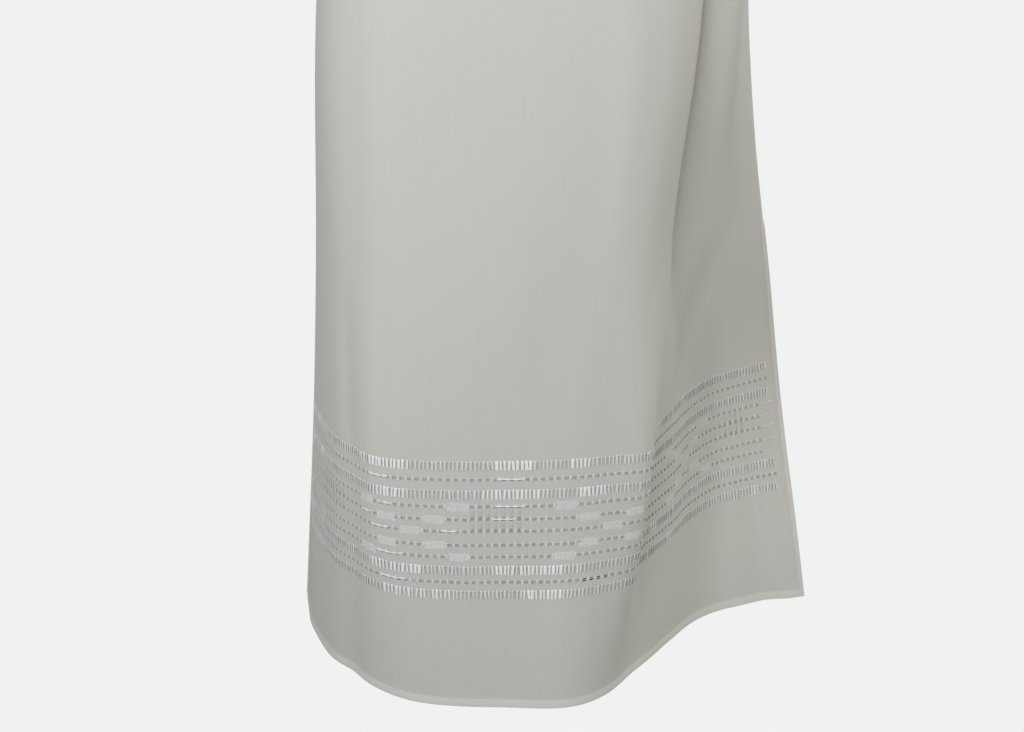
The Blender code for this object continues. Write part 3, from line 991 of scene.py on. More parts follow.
def cotton_finish(name, dark, light, through):
    """Plain weave between two tones; through is the share of light that comes through it."""
    made, shader = finish(name, light, COTTON_ROUGHNESS)
    gloss = {"Sheen Weight": 0.12, "Sheen Roughness": 0.45, "Specular IOR Level": 0.30}
    for socket, value in gloss.items():
        shader.inputs[socket].default_value = value
    slubs = weighted_sum(made, noise(made, (340, 4, 1)), 0.7, noise(made, (6, 420, 1)), 0.3)
    colour_between(made, shader, slubs, dark, light, low=0.36, high=0.64)
    weave = combine(made, "MULTIPLY", wave(made, "X", WEAVE_PITCH, 0.4), wave(made, "Y", WEAVE_PITCH, 0.4))
    height = combine(made, "ADD", weave, combine(made, "MULTIPLY", slubs, 0.8))
    add_bump(made, shader, height, distance=0.00012, strength=0.35)
    let_light_through(made, shader, THROUGH_COLOUR, through)
    return made


# Each cotton has a darker and a lighter tone, and its share of light that comes through.
cotton = cotton_finish("cotton", (0.643, 0.639, 0.591), (0.658, 0.654, 0.606), 0.22)
doubled = cotton_finish("doubled_cotton", (0.648, 0.644, 0.598), (0.662, 0.658, 0.612), 0.14)
# Behind the holes the ground threads are darker than the cotton, partly as a sparser cloth and partly as
# painted shade of the dress's inside.
sparse_shaded_gauze = cotton_finish("ground_threads", (0.49, 0.49, 0.46), (0.62, 0.62, 0.58), 0.30)
# Behind the bar rows the same ground threads are painted lighter, against the shade between the bars.
painted_light_bar_gauze = cotton_finish("bar_ground_threads", (0.60, 0.60, 0.57), (0.73, 0.73, 0.69), 0.30)
thinned = cotton_finish("thinned_cotton", (0.596, 0.593, 0.550), (0.643, 0.640, 0.595), 0.22)
# A near-black cotton: painted shade of the dress's inside, for holes without ground threads.
shaded_gap = cotton_finish("shaded_gap", (0.050, 0.050, 0.045), (0.085, 0.085, 0.075), 0.0)
print("cottons:", [made.name for made in (cotton, doubled, sparse_shaded_gauze, painted_light_bar_gauze, thinned, shaded_gap)])


# %% Satin, block and sewing threads
def thread_finish(name, dark, light, roughness, pitch):
    """Bright thread: fine strands that run its length, with the gloss of mercerised cotton."""
    made, shader = finish(name, light, roughness)
    shader.inputs["Specular IOR Level"].default_value = 0.50
    strands = wave(made, "X", pitch, distortion=1.5)
    tone = weighted_sum(made, strands, 0.4, noise(made, (900, 160, 1)), 0.6)
    colour_between(made, shader, tone, dark, light, low=0.25, high=0.70)
    add_bump(made, shader, strands, distance=0.0001, strength=0.5)
    return made


# Each thread has a darker and a lighter tone, its roughness, and the pitch of its strands.
satin = thread_finish("satin_thread", (0.54, 0.54, 0.52), (0.77, 0.77, 0.745), 0.36, 0.00042)
# A lighter copy of the satin thread: a painted highlight for glinting bars and floating threads.
painted_glint_satin = thread_finish("painted_glint_satin_thread", (0.70, 0.70, 0.68), (0.88, 0.88, 0.86), 0.32, 0.00042)
block_thread = thread_finish("block_thread", (0.58, 0.58, 0.55), (0.74, 0.74, 0.70), 0.55, 0.00060)
sewing_thread = thread_finish("sewing_thread", (0.60, 0.60, 0.56), (0.72, 0.72, 0.68), 0.60, 0.00030)
print("threads:", [made.name for made in (satin, painted_glint_satin, block_thread, sewing_thread)])

# %% The blocks' hatching
HATCH_PITCH = 0.0013


def hatched_finish(name, dark, light, pitch):
    """Extra thread woven slantwise both ways, so that light and dark spots alternate unevenly."""
    made, shader = finish(name, light, roughness=0.60)
    rising = wave(made, "DIAGONAL", pitch, distortion=2.5)
    falling = wave(made, "DIAGONAL", pitch, distortion=2.5, scale=(1, -1, 1))
    crossed = combine(made, "MULTIPLY", rising, falling)
    spots = weighted_sum(made, crossed, 0.5, noise(made, (520, 620, 1), detail=1.0), 0.6)
    colour_between(made, shader, spots, dark, light, low=0.28, high=0.62)
    add_bump(made, shader, spots, distance=0.0002, strength=0.5)
    return made


hatched = hatched_finish("block_patch", (0.51, 0.51, 0.485), (0.81, 0.81, 0.77), HATCH_PITCH)
print("hatching repeats every", HATCH_PITCH * 1000, "mm")

# %% [markdown]
# ## The panels take shape
#
# Each panel's points and faces become one object. Its cut edges have to show the cloth's thickness, so a
# Solidify modifier gives it one. A second layer of points laid by hand would do the same with twice the work.
# Where the real cloth is doubled, along the hem and the slits, the faces get a less see-through cotton.

# %% The two panels
COTTON_THICKNESS = 0.00042


def thicken(made, thickness):
    wall = made.modifiers.new("thickness", "SOLIDIFY")
    wall.thickness = thickness
    wall.offset = 0.0
    wall.use_even_offset = False


def doubled_faces(side, faces, uvs):
    """1 for each face in the hem's narrow fold or in a slit's turned edge, where the cloth is doubled."""
    places = np.array([np.mean([uvs[i] for i in face], axis=0) for face in faces])
    inside = np.minimum(places[:, 0], RULER[side]["length"] - places[:, 0])
    turned = (inside < SLIT_TURN) & (places[:, 1] < SLIT_HEIGHT)
    return ((places[:, 1] < HEM_ROLL_HEIGHT) | turned).astype(np.int32)


def panel_shell(side):
    panel = PANELS[side]
    faces = panel.faces()
    made = mesh_object(side + "_panel", panel.points, faces, panel.uvs, cotton)
    made.data.materials.append(doubled)
    made.data.polygons.foreach_set("material_index", doubled_faces(side, faces, panel.uvs))
    thicken(made, COTTON_THICKNESS)
    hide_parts(side)
    print(made.name, len(panel.points), "points,", len(faces), "faces")
    return made


SHELLS = {side: panel_shell(side) for side in SIDES}

# %% [markdown]
# ## Ground threads behind the openings
#
# The openings aren't quite empty. The loom leaves a few fine ground threads across them, set back a little,
# which read as a thinner cloth. As bodies of their own they would be too fine to see, so a narrow strip of
# gauzy cotton behind each row stands for them. Behind the hole rows the strip is darker than the cotton,
# partly as a sparser cloth and partly as painted shade of the dress's inside. Behind the bar rows it is
# painted lighter, against the shade between the bars.

# %% Ground threads
GROUND_BEHIND = -0.0007
GROUND_LAP = 0.0014
GROUND_PITCH = 0.0040
GROUND_THICKNESS = 0.0002
GROUND_FINISHES = {"holes": sparse_shaded_gauze, "worn": shaded_gap, "bars": painted_light_bar_gauze}
# Where the ground threads are gone, a near-black strip of painted shade: row, from and to, in metres from the
# band's middle
SHADED_OPENINGS = [(10, 0.074, 0.099), (10, -0.122, -0.108)]


def ground_kinds(row, kind, middles):
    """The kind of ground that shows at each of many places of a row."""
    kinds = np.full(len(middles), kind)
    for painted_shade_row, start, end in SHADED_OPENINGS:
        # Here the strip takes the near-black painted shade.
        kinds[(painted_shade_row == row) & (start < middles) & (middles < end)] = "worn"
    return list(kinds)


def ground_strips(side):
    panel = PANELS[side]
    start, end = panel.metres[panel.first], panel.metres[panel.last]
    places = np.linspace(start, end, int((end - start) / GROUND_PITCH))
    middles = (places[:-1] + places[1:]) / 2 - BAND_CENTRE[side]
    points, uvs, faces, kinds = [], [], [], []
    for row, kind, height in BAND:
        half = half_opening(kind) + GROUND_LAP
        faces += grid_faces(2, len(places), len(points))
        kinds += ground_kinds(row, kind, middles)
        for low in (-half, half):
            heights = np.full(len(places), height + low)
            points += list(cloth(side, places, heights, GROUND_BEHIND))
            uvs += list(zip(places, heights))
    made = mesh_object(side + "_ground_threads", points, face_out(side, faces), uvs, sparse_shaded_gauze)
    for kind in ("worn", "bars"):
        made.data.materials.append(GROUND_FINISHES[kind])
    order = list(GROUND_FINISHES)
    made.data.polygons.foreach_set("material_index", [order.index(kind) for kind in kinds])
    thicken(made, GROUND_THICKNESS)
    print(made.name, len(faces), "faces,", kinds.count("worn"), "of them worn through")


for side in SIDES:
    ground_strips(side)

# %% [markdown]
# ## Threads as small rounded bodies
#
# Satin bars, bridges, stitches and floating threads are all the same kind of thing: a short bundle of thread
# that swells in its middle. One function makes hundreds of them as one mesh, from the line down the middle of
# each and two directions across it.

# %% Bundles of thread
THREAD_SIDES = 8


def thread_mesh(name, centres, across, outward, half_widths, half_depths, material, sides=THREAD_SIDES):
    """centres, across and outward: threads x rings x 3; half sizes: threads x rings."""
    count, rings = centres.shape[:2]
    turn = np.linspace(0, 2 * np.pi, sides, endpoint=False) - np.pi / 2
    wide = across[:, :, None] * np.cos(turn)[:, None] * half_widths[:, :, None, None]
    deep = outward[:, :, None] * np.sin(turn)[:, None] * half_depths[:, :, None, None]
    points = (centres[:, :, None] + wide + deep).reshape(-1, 3)
    lengths = np.linalg.norm(np.diff(centres, axis=1), axis=2)
    run = np.concatenate([np.zeros((count, 1)), np.cumsum(lengths, axis=1)], axis=1)
    around = np.abs(np.arange(sides) - sides / 2) / sides * 4 * half_widths.max()
    uvs = np.stack([np.broadcast_to(around, (count, rings, sides)),
                    np.broadcast_to(run[:, :, None], (count, rings, sides))], axis=-1).reshape(-1, 2)
    base = np.arange(count * rings * sides).reshape(count, rings, sides)
    beside = np.roll(base, -1, axis=2)
    quads = np.stack([base[:, :-1], beside[:, :-1], beside[:, 1:], base[:, 1:]], axis=-1).reshape(-1, 4)
    ends = np.concatenate([base[:, 0, ::-1], base[:, -1]])
    forward = centres[0, 1] - centres[0, 0]
    faces = quads.tolist() + ends.tolist()
    if np.dot(np.cross(across[0, 0], outward[0, 0]), forward) < 0:
        faces = [face[::-1] for face in faces]
    return mesh_object(name, points, faces, uvs, material)


NEARBY = 0.0008


def on_cloth(side, metres, heights, lift):
    """Points lifted off the cloth, with the directions along the band, up and out."""
    shape = np.broadcast(metres, heights, lift).shape
    m, h, out = (np.broadcast_to(value, shape).ravel() for value in (metres, heights, lift))
    here = cloth(side, m, h, out)
    along = unit(cloth(side, m + NEARBY, h, out) - here)
    up = unit(cloth(side, m, h + NEARBY, out) - here)
    outward = unit(np.cross(along, up)) * OUT[side]
    return [values.reshape(*shape, 3) for values in (here, along, up, outward)]


# %% [markdown]
# ## Satin bars
#
# Four rows of the band look like ladders: upright bundles of glossy thread, a few millimetres apart, which
# cross a long opening and catch on the cloth above and below. A striped strip could stand for a row, but each
# real bundle shines by itself, so each is a body of its own. No two are quite the same width. In some
# stretches many bundles take a lighter satin, a painted highlight.

# %% Sizes of the bars, and where they are fuller
BAR_LENGTH = 0.0106
BAR_HALF_WIDTH = 0.00138
BAR_HALF_DEPTH = 0.00034
BAR_LIFT = 0.00018
BAR_RINGS = np.array([-0.50, -0.47, -0.34, 0.0, 0.34, 0.47, 0.50])
BAR_SWELL = np.array([0.45, 0.85, 1.00, 0.88, 1.00, 0.85, 0.45])
BAR_SHIFT = 0.0004
BAR_SLANT = 0.0005
BAR_LENGTHS = (0.93, 1.05)
BAR_WIDTHS = (0.60, 1.16)

# Stretches of each row where the bundles are fuller and more of them get a painted highlight, from and to, in
# metres from the band's middle
FULL_GLINT_STRETCHES = {
    1: [(-0.145, -0.102), (-0.018, 0.022), (0.058, 0.076), (0.215, 0.240)],
    3: [(-0.140, -0.106), (-0.028, 0.030), (0.066, 0.092), (0.170, 0.186)],
    9: [(-0.148, -0.090), (-0.020, 0.000), (0.008, 0.052), (0.190, 0.222)],
    11: [(-0.136, -0.062), (0.008, 0.058), (0.158, 0.176), (0.246, 0.262)],
}
FULL_GAIN = 0.40
FULL_EDGE = 0.006
FULL_REACH = 0.75
FULL_REACH_UNEVEN = 0.25
# A bundle gets the painted highlight where its fullness and a random share of this range come above the
# threshold.
GLINT_RANGE = (-0.38, 0.24)
GLINT_ABOVE = 0.22


def fullness_and_glint(from_middle, row):
    """From 0 to 1: how full the bundles are at a place of a bar row; it also raises the chance of a painted
    highlight.
    """
    full = np.zeros_like(from_middle)
    for start, end in FULL_GLINT_STRETCHES[row]:
        reach = FULL_REACH + FULL_REACH_UNEVEN * math.sin(row * 2.1 + start * 90)
        inside = np.minimum(from_middle - start, end - from_middle) / FULL_EDGE + 0.5
        full = np.maximum(full, reach * np.clip(inside, 0, 1))
    return full


# %% Satin bars
def satin_bars(side):
    panel = PANELS[side]
    start, end = panel.metres[panel.first], panel.metres[panel.last]
    count = int((end - start) / BAR_PITCH)
    places, heights, full = [], [], []
    for row in BAR_ROWS:
        shift = rng.uniform(-BAR_SHIFT, BAR_SHIFT, count)
        places.append(start + (np.arange(count) + 0.5) * (end - start) / count + shift)
        heights.append(np.full(count, ROW_HEIGHT[row]))
        full.append(fullness_and_glint(places[-1] - BAND_CENTRE[side], row))
    places = np.concatenate(places)
    total = len(places)
    slant = rng.normal(0, BAR_SLANT, total)
    lengths = BAR_LENGTH * rng.uniform(*BAR_LENGTHS, total)
    metres = places[:, None] + slant[:, None] * BAR_RINGS
    levels = np.concatenate(heights)[:, None] + lengths[:, None] * BAR_RINGS
    centres, along, _, outward = on_cloth(side, metres, levels, BAR_LIFT)
    full = np.concatenate(full)
    wide = rng.uniform(*BAR_WIDTHS, total) * (1 + FULL_GAIN * full)
    half_widths = BAR_HALF_WIDTH * wide[:, None] * BAR_SWELL
    half_depths = BAR_HALF_DEPTH * np.sqrt(wide)[:, None] * BAR_SWELL
    made = thread_mesh(side + "_satin_bars", centres, along, outward, half_widths, half_depths, satin)
    # Bundles chosen here take the lighter satin, a painted highlight.
    painted_glint = (full + rng.uniform(*GLINT_RANGE, total) > GLINT_ABOVE).astype(np.int32)
    sides = np.repeat(painted_glint, (len(BAR_RINGS) - 1) * THREAD_SIDES)
    made.data.materials.append(painted_glint_satin)
    made.data.polygons.foreach_set("material_index", np.concatenate([sides, painted_glint, painted_glint]))
    print(made.name, total, "bars,", painted_glint.sum(), "of them bright")


for side in SIDES:
    satin_bars(side)

# %% [markdown]
# ## Bridges and running threads of the hole rows
#
# Between two holes a few threads are bound into a bridge. A thread runs along each row as well, mostly inside
# the cloth, so only the stretches of it that show are made. Both are small bundles like the bars, laid on the
# cloth's own curve.

# %% Bridges
BRIDGE_LENGTH = 0.0056
BRIDGE_HALF_WIDTH = 0.00105
BRIDGE_HALF_DEPTH = 0.00028
BRIDGE_LIFT = 0.00012
BRIDGE_RINGS = np.array([-0.50, -0.44, -0.2, 0.2, 0.44, 0.50])
BRIDGE_SWELL = np.array([0.4, 0.9, 0.85, 0.85, 0.9, 0.4])
BRIDGE_LENGTHS = (0.9, 1.1)
BRIDGE_SIZES = (0.8, 1.1)
BRIDGE_SHIFT = 0.0002
BRIDGE_COVERED = 0.95


def bridges(side):
    panel = PANELS[side]
    places, heights = [], []
    for row in HOLE_ROWS:
        for j in range(panel.first + 1, panel.last, 2):
            middle = (panel.metres[j] + panel.metres[j + 1]) / 2
            if in_row(side, row, middle) and not under_block(side, row, middle, BRIDGE_COVERED):
                places.append(middle)
                heights.append(ROW_HEIGHT[row])
    places, heights = np.array(places), np.array(heights)
    total = len(places)
    lengths = BRIDGE_LENGTH * rng.uniform(*BRIDGE_LENGTHS, total)
    levels = heights[:, None] + lengths[:, None] * BRIDGE_RINGS
    metres = places[:, None] + rng.normal(0, BRIDGE_SHIFT, total)[:, None]
    centres, along, _, outward = on_cloth(side, metres, levels, BRIDGE_LIFT)
    size = rng.uniform(*BRIDGE_SIZES, total)[:, None] * BRIDGE_SWELL
    made = thread_mesh(side + "_bridges", centres, along, outward,
                       BRIDGE_HALF_WIDTH * size, BRIDGE_HALF_DEPTH * size, block_thread, sides=6)
    print(made.name, total, "bridges")


for side in SIDES:
    bridges(side)

# %% Running threads
# The stretches that show: past the last hole at both ends of each row, and across two wide holes.
RUN_HALF = 0.00028
RUN_RINGS = 25
RUN_OVER = 0.00050
RUN_UNDER = 0.00010
RUN_END = 0.012
RUN_LAP = 0.010
RUN_WAVE = 0.0003
# Row, start from the band's middle, and length
RUN_SHOWN = [(10, -0.122, 0.024), (10, 0.074, 0.026)]


def running_threads(side):
    length = RULER[side]["length"]
    steps = np.linspace(0, 1, RUN_RINGS)
    stretches = [(row, BAND_CENTRE[side] + start, run) for row, start, run in RUN_SHOWN]
    for row in MOTIF_ROWS:
        run = MOTIF_MARGIN - RUN_END + RUN_LAP
        stretches += [(row, RUN_END, run), (row, length - RUN_END - run, run)]
    metres = np.array([start + run * steps for _, start, run in stretches])
    levels = np.array([ROW_HEIGHT[row] + RUN_WAVE + RUN_WAVE * np.sin(9 * steps + row)
                       for row, _, _ in stretches])
    first_hole = PANELS[side].metres[PANELS[side].first]
    swing = (1 + np.cos(2 * np.pi * (metres - first_hole) / HOLE_PITCH)) / 2
    lifts = RUN_UNDER + (RUN_OVER - RUN_UNDER) * swing
    centres, _, up, outward = on_cloth(side, metres, levels, lifts)
    sizes = np.full(centres.shape[:2], RUN_HALF)
    made = thread_mesh(side + "_running_threads", centres, up, outward, sizes, sizes, satin, sides=5)
    print(made.name, len(stretches), "stretches")


for side in SIDES:
    running_threads(side)

# %% [markdown]
# ## Floating threads
#
# Where a running thread comes out of the cloth for a few holes, it lies loose on top as two strands, whose
# bright tone is a painted highlight.
# The strands could be drawn as bright lines in the cotton's finish, but only real strands shine and shade as
# the view turns. Their places are charted from the band's middle.

# %% Floating threads
FLOAT_COLUMNS = ("row", "start", "length")
FLOATS = {
    "front": [
        (2, -0.148, 0.028), (4, -0.136, 0.017), (5, -0.158, 0.014), (6, -0.144, 0.022), (8, -0.142, 0.033),
        (10, -0.137, 0.033), (2, -0.016, 0.033), (4, -0.019, 0.037), (5, -0.021, 0.026), (6, -0.072, 0.018),
        (4, 0.150, 0.020), (6, 0.168, 0.024),
    ],
    "back": [
        (2, -0.150, 0.026), (4, -0.132, 0.020), (6, -0.150, 0.024), (8, -0.146, 0.030), (10, -0.120, 0.026),
        (2, -0.010, 0.030), (4, -0.024, 0.036), (5, -0.018, 0.022), (10, 0.034, 0.024),
        (2, 0.150, 0.028), (6, 0.160, 0.022),
    ],
}
FLOAT_STRANDS = 2
FLOAT_GAP = 0.0007
FLOAT_HALF = 0.00044
FLOAT_LIFT = 0.0007
FLOAT_RINGS = 12
FLOAT_SHIFT = 0.001
FLOAT_LENGTHS = (0.9, 1.0)
FLOAT_ABOVE_ROW = 0.0008
FLOAT_WAVE = 0.00015
FLOAT_FLATNESS = 0.8
FLOAT_END = 0.03
FLOAT_ROUNDNESS = 0.4
FLOAT_TIP = 0.3
FLOAT_TAPER = 8


def floating_threads(side):
    steps = np.linspace(0, 1, FLOAT_RINGS)
    metres, levels, lifts = [], [], []
    for float_row in FLOATS[side]:
        entry = dict(zip(FLOAT_COLUMNS, float_row))
        for strand in range(FLOAT_STRANDS):
            start = BAND_CENTRE[side] + entry["start"] + rng.uniform(-FLOAT_SHIFT, FLOAT_SHIFT)
            metres.append(start + entry["length"] * rng.uniform(*FLOAT_LENGTHS) * steps)
            level = ROW_HEIGHT[entry["row"]] + FLOAT_ABOVE_ROW + (strand - 0.5) * FLOAT_GAP
            levels.append(level + FLOAT_WAVE * np.sin(steps * 7 + strand))
            arch = np.sin(np.pi * np.clip(steps, FLOAT_END, 1 - FLOAT_END)) ** FLOAT_ROUNDNESS
            lifts.append(FLOAT_LIFT * arch)
    centres, _, up, outward = on_cloth(side, np.array(metres), np.array(levels), np.array(lifts))
    taper = np.minimum(1, np.minimum(steps, 1 - steps) * FLOAT_TAPER + FLOAT_TIP)
    sizes = FLOAT_HALF * taper * np.ones(centres.shape[:2])
    # The strands take the lighter satin, a painted highlight.
    made = thread_mesh(side + "_floats", centres, up, outward, sizes, sizes * FLOAT_FLATNESS, painted_glint_satin,
                       sides=6)
    print(made.name, len(metres), "strands")


for side in SIDES:
    floating_threads(side)

# %% [markdown]
# ## Thinned strips between the hole rows
#
# In the plain stretch between two motifs, the cloth between the holes of rows 4 to 6 is a little thinner, in
# upright strips. More openings would look too empty there, and a darker patch in the finish would not follow
# the holes. So a very flat strip of darker cotton lies on the cloth between each two holes.

# %% Thinned strips
STRIP_ROWS = [(4, 5), (5, 6)]
STRIP_HALF = 0.00200
STRIP_DEPTH = 0.00004
STRIP_LIFT = 0.00021
STRIP_RINGS = 6
STRIP_SPAN = (-0.044, 0.012)
STRIP_UNEVEN = 0.00020
STRIP_SIZES = (0.7, 1.1)


def strip_places(side):
    """Where the strips stand along the band: at each hole of the plain stretches."""
    panel = PANELS[side]
    places = []
    for j in range(panel.first, panel.last, 2):
        middle = (panel.metres[j] + panel.metres[j + 1]) / 2
        offset = (middle - BAND_CENTRE[side]) / MOTIF_PERIOD
        from_plain = (offset - round(offset)) * MOTIF_PERIOD
        if in_row(side, STRIP_ROWS[0][0], middle) and STRIP_SPAN[0] < from_plain < STRIP_SPAN[1]:
            places.append(middle)
    return places


def thinned_strips(side):
    places = strip_places(side)
    steps = np.linspace(0, 1, STRIP_RINGS)
    levels = []
    for above, below in STRIP_ROWS:
        low, high = ROW_HEIGHT[below] + HOLE_HEIGHT / 2, ROW_HEIGHT[above] - HOLE_HEIGHT / 2
        levels += [low + (high - low) * steps] * len(places)
    levels = np.array(levels)
    metres = np.tile(places, len(STRIP_ROWS))[:, None] + rng.normal(0, STRIP_UNEVEN, levels.shape)
    centres, along, _, outward = on_cloth(side, metres, levels, STRIP_LIFT)
    sizes = rng.uniform(*STRIP_SIZES, centres.shape[:2])
    made = thread_mesh(side + "_links", centres, along, outward, STRIP_HALF * sizes, STRIP_DEPTH * sizes,
                       thinned, sides=6)
    print(made.name, len(levels), "strips")


for side in SIDES:
    thinned_strips(side)

# %% [markdown]
# ## Raised blocks
#
# Each block is a dense patch of extra thread, woven slantwise over the cloth. Drawn only in the finish, it
# would look flat from the side. So it is a small grid whose border meets the cloth and whose middle stands
# up, with crossed ridges a few threads wide.

# %% Blocks
BLOCK_GRID = (34, 16)
BLOCK_RISE = 0.00024
BLOCK_SHOULDER = 0.0014
BLOCK_FRAY = 0.0013
BLOCK_TILT = 0.010
BLOCK_SUNK = 0.0001
BLOCK_THICKNESS = 0.0003
RIDGE_PITCH = 0.0026
RIDGE_HEIGHT = 0.00028


def block_patches(side):
    columns, rows = BLOCK_GRID
    u = np.linspace(-0.5, 0.5, columns + 1)[None, :] * BLOCK_WIDTH
    v = np.linspace(-0.5, 0.5, rows + 1)[:, None] * BLOCK_HEIGHT
    inside = np.minimum(BLOCK_WIDTH / 2 - np.abs(u), BLOCK_HEIGHT / 2 - np.abs(v))
    shoulder = np.sin(np.clip(inside / BLOCK_SHOULDER, 0, 1) * np.pi / 2)
    slant = 2 * np.pi / RIDGE_PITCH
    ridges = np.sin(slant * (u + v)) * np.sin(slant * (u - v))
    lift = -BLOCK_SUNK + shoulder * (BLOCK_RISE + RIDGE_HEIGHT * ridges)
    points, uvs, faces = [], [], []
    for row, place in BLOCKS[side]:
        tilt = rng.normal(0, BLOCK_TILT)
        ends = rng.normal(0, BLOCK_FRAY, (2, rows + 1, 1))
        fray = np.where(u < 0, ends[0], ends[1]) * np.abs(u / BLOCK_WIDTH * 2) ** 3
        metres = place + u + fray + v * tilt
        levels = ROW_HEIGHT[row] + v - u * tilt
        centres = on_cloth(side, metres, levels, lift)[0]
        faces += grid_faces(rows + 1, columns + 1, len(points))
        points += list(centres.reshape(-1, 3))
        uvs += list(np.stack([metres, levels], axis=-1).reshape(-1, 2))
    made = mesh_object(side + "_blocks", points, face_out(side, faces), uvs, hatched)
    thicken(made, BLOCK_THICKNESS)
    print(made.name, len(BLOCKS[side]), "blocks")


for side in SIDES:
    block_patches(side)

# %% [markdown]
# ## The deep hem
#
# The hem is turned up inside and caught with small blind stitches, which show outside as a faint row of dots.
# The turned cloth could be the panel's own mesh folded back. A second thin layer behind the first looks the
# same, and keeps the panel one plain surface.

# %% Turned hem
HEM_DEPTH = 0.0610
HEM_BEHIND = -0.0009
HEM_COLUMN = 0.0060
HEM_END = 0.001
HEM_LEVELS = (0.0006, 0.004, 0.009, 0.020, 0.034, 0.048, HEM_DEPTH)


def turned_hem(side):
    length = RULER[side]["length"]
    places = np.linspace(HEM_END, length - HEM_END, int(length / HEM_COLUMN))
    metres, heights = np.meshgrid(places, HEM_LEVELS)
    points = cloth(side, metres.ravel(), heights.ravel(), HEM_BEHIND)
    uvs = np.column_stack([metres.ravel(), heights.ravel()])
    faces = face_out(side, grid_faces(len(HEM_LEVELS), len(places)))
    made = mesh_object(side + "_turned_hem", points, faces, uvs, cotton)
    thicken(made, COTTON_THICKNESS)
    print(made.name, len(faces), "faces")


for side in SIDES:
    turned_hem(side)

# %% [markdown]
# ## Stitches
#
# Blind stitches hold the hem, and a close row of running stitches holds each slit's turned edge. Dashes in
# the finish would look flat close up, so each stitch is a tiny rounded body, made as the bars are.

# %% Stitches along a path
STITCH_RINGS = np.array([-0.5, -0.3, 0.3, 0.5])
STITCH_SWELL = np.array([0.5, 1.0, 1.0, 0.5])


def stitches(name, centres, forward, outward, length, half):
    """Small stitches centred on given points, lying in the forward directions."""
    across = unit(np.cross(outward, forward))
    lines = centres[:, None] + forward[:, None] * (STITCH_RINGS * length)[:, None]
    rings = len(STITCH_RINGS)
    size = np.tile(half * STITCH_SWELL, (len(centres), 1))
    return thread_mesh(name, lines, np.repeat(across[:, None], rings, axis=1),
                       np.repeat(outward[:, None], rings, axis=1), size, size, sewing_thread, sides=5)


# %% Stitches of the hem and the slits
STITCH_HALF = 0.00024
STITCH_LIFT = 0.0002
BLIND_PITCH = 0.0085
BLIND_LENGTH = 0.0016
BLIND_END = 0.012
BLIND_UNEVEN = 0.0008
BLIND_HEIGHT = HEM_DEPTH - 0.001
SLIT_STITCH_PITCH = 0.0030
SLIT_STITCH_LENGTH = 0.0023
SLIT_STITCH_START = 0.004
SLIT_STITCH_IN = SLIT_TURN - 0.0006


def hem_stitches(side):
    length = RULER[side]["length"]
    places = np.arange(BLIND_END, length - BLIND_END, BLIND_PITCH)
    places = places + rng.uniform(-BLIND_UNEVEN, BLIND_UNEVEN, len(places))
    levels = np.full(len(places), BLIND_HEIGHT)
    centres, along, _, outward = on_cloth(side, places, levels, STITCH_LIFT)
    return stitches(side + "_hem_stitches", centres, along, outward, BLIND_LENGTH, STITCH_HALF)


def slit_stitches(side):
    length = RULER[side]["length"]
    levels = np.arange(SLIT_STITCH_START, SLIT_HEIGHT, SLIT_STITCH_PITCH)
    lines = []
    for place in (SLIT_STITCH_IN, length - SLIT_STITCH_IN):
        lines.append(on_cloth(side, np.full(len(levels), place), levels, STITCH_LIFT))
    centres, _, up, outward = (np.concatenate(values) for values in zip(*lines))
    return stitches(side + "_slit_stitches", centres, up, outward, SLIT_STITCH_LENGTH, STITCH_HALF)


for side in SIDES:
    print("stitched:", hem_stitches(side).name, "and", slit_stitches(side).name)

# %% [markdown]
# ## Bindings of the neck and the armholes
#
# A binding is a narrow bias strip folded over the raw edge and stitched near its outer fold. A curve with a
# flat profile could make it, but would twist at the underarms. So each strip is swept ring by ring: rings are
# laid round the opening along the panels' own border points, and each lies in line with the cloth beside it.

# %% The line that a binding follows
BINDING_REACH = 0.012


def evenly(points, pitch):
    """A closed line's points again, a pitch apart."""
    closed = np.vstack([points, points[:1]])
    travelled = np.concatenate([[0.0], np.cumsum(np.linalg.norm(np.diff(closed, axis=0), axis=1))])
    at = np.linspace(0, travelled[-1], int(travelled[-1] / pitch), endpoint=False)
    return np.column_stack([np.interp(at, travelled, closed[:, axis]) for axis in range(3)])


def smoothed(values, rounds):
    for _ in range(rounds):
        values = (np.roll(values, 1, axis=0) + values * 2 + np.roll(values, -1, axis=0)) / 4
    return values


def into_cloth(panel, keys):
    """Directions from a border's points to the cloth beside them, away from the opening."""
    border = {panel.index[key] for key in keys}
    beside = np.array([point for i, point in enumerate(panel.points) if i not in border])
    found = []
    for point in panel.at(keys):
        steps = beside - point
        found.append(np.exp(-(np.linalg.norm(steps, axis=1) / BINDING_REACH) ** 2) @ steps)
    return unit(np.array(found))


# %% Bindings
BINDING_WIDTH = 0.0090
BINDING_DEPTH = 0.0022
BINDING_LAP = 0.0020
BINDING_SIDES = 12
BINDING_SQUARENESS = 0.62
BINDING_RING_PITCH = 0.0032
LINE_ROUNDS = 5
DIRECTION_ROUNDS = 6
BINDING_STITCH_IN = 0.0016
BINDING_STITCH_SUNK = 0.0001
BINDING_STITCH_LENGTH = 0.0022
CHEST_MIDDLE = (0, 0, -0.25)
BINDINGS = {
    "neck_binding": lambda panel: panel.neck_border(),
    "armhole_binding_left": lambda panel: panel.armhole_border("left"),
    "armhole_binding_right": lambda panel: panel.armhole_border("right"),
}


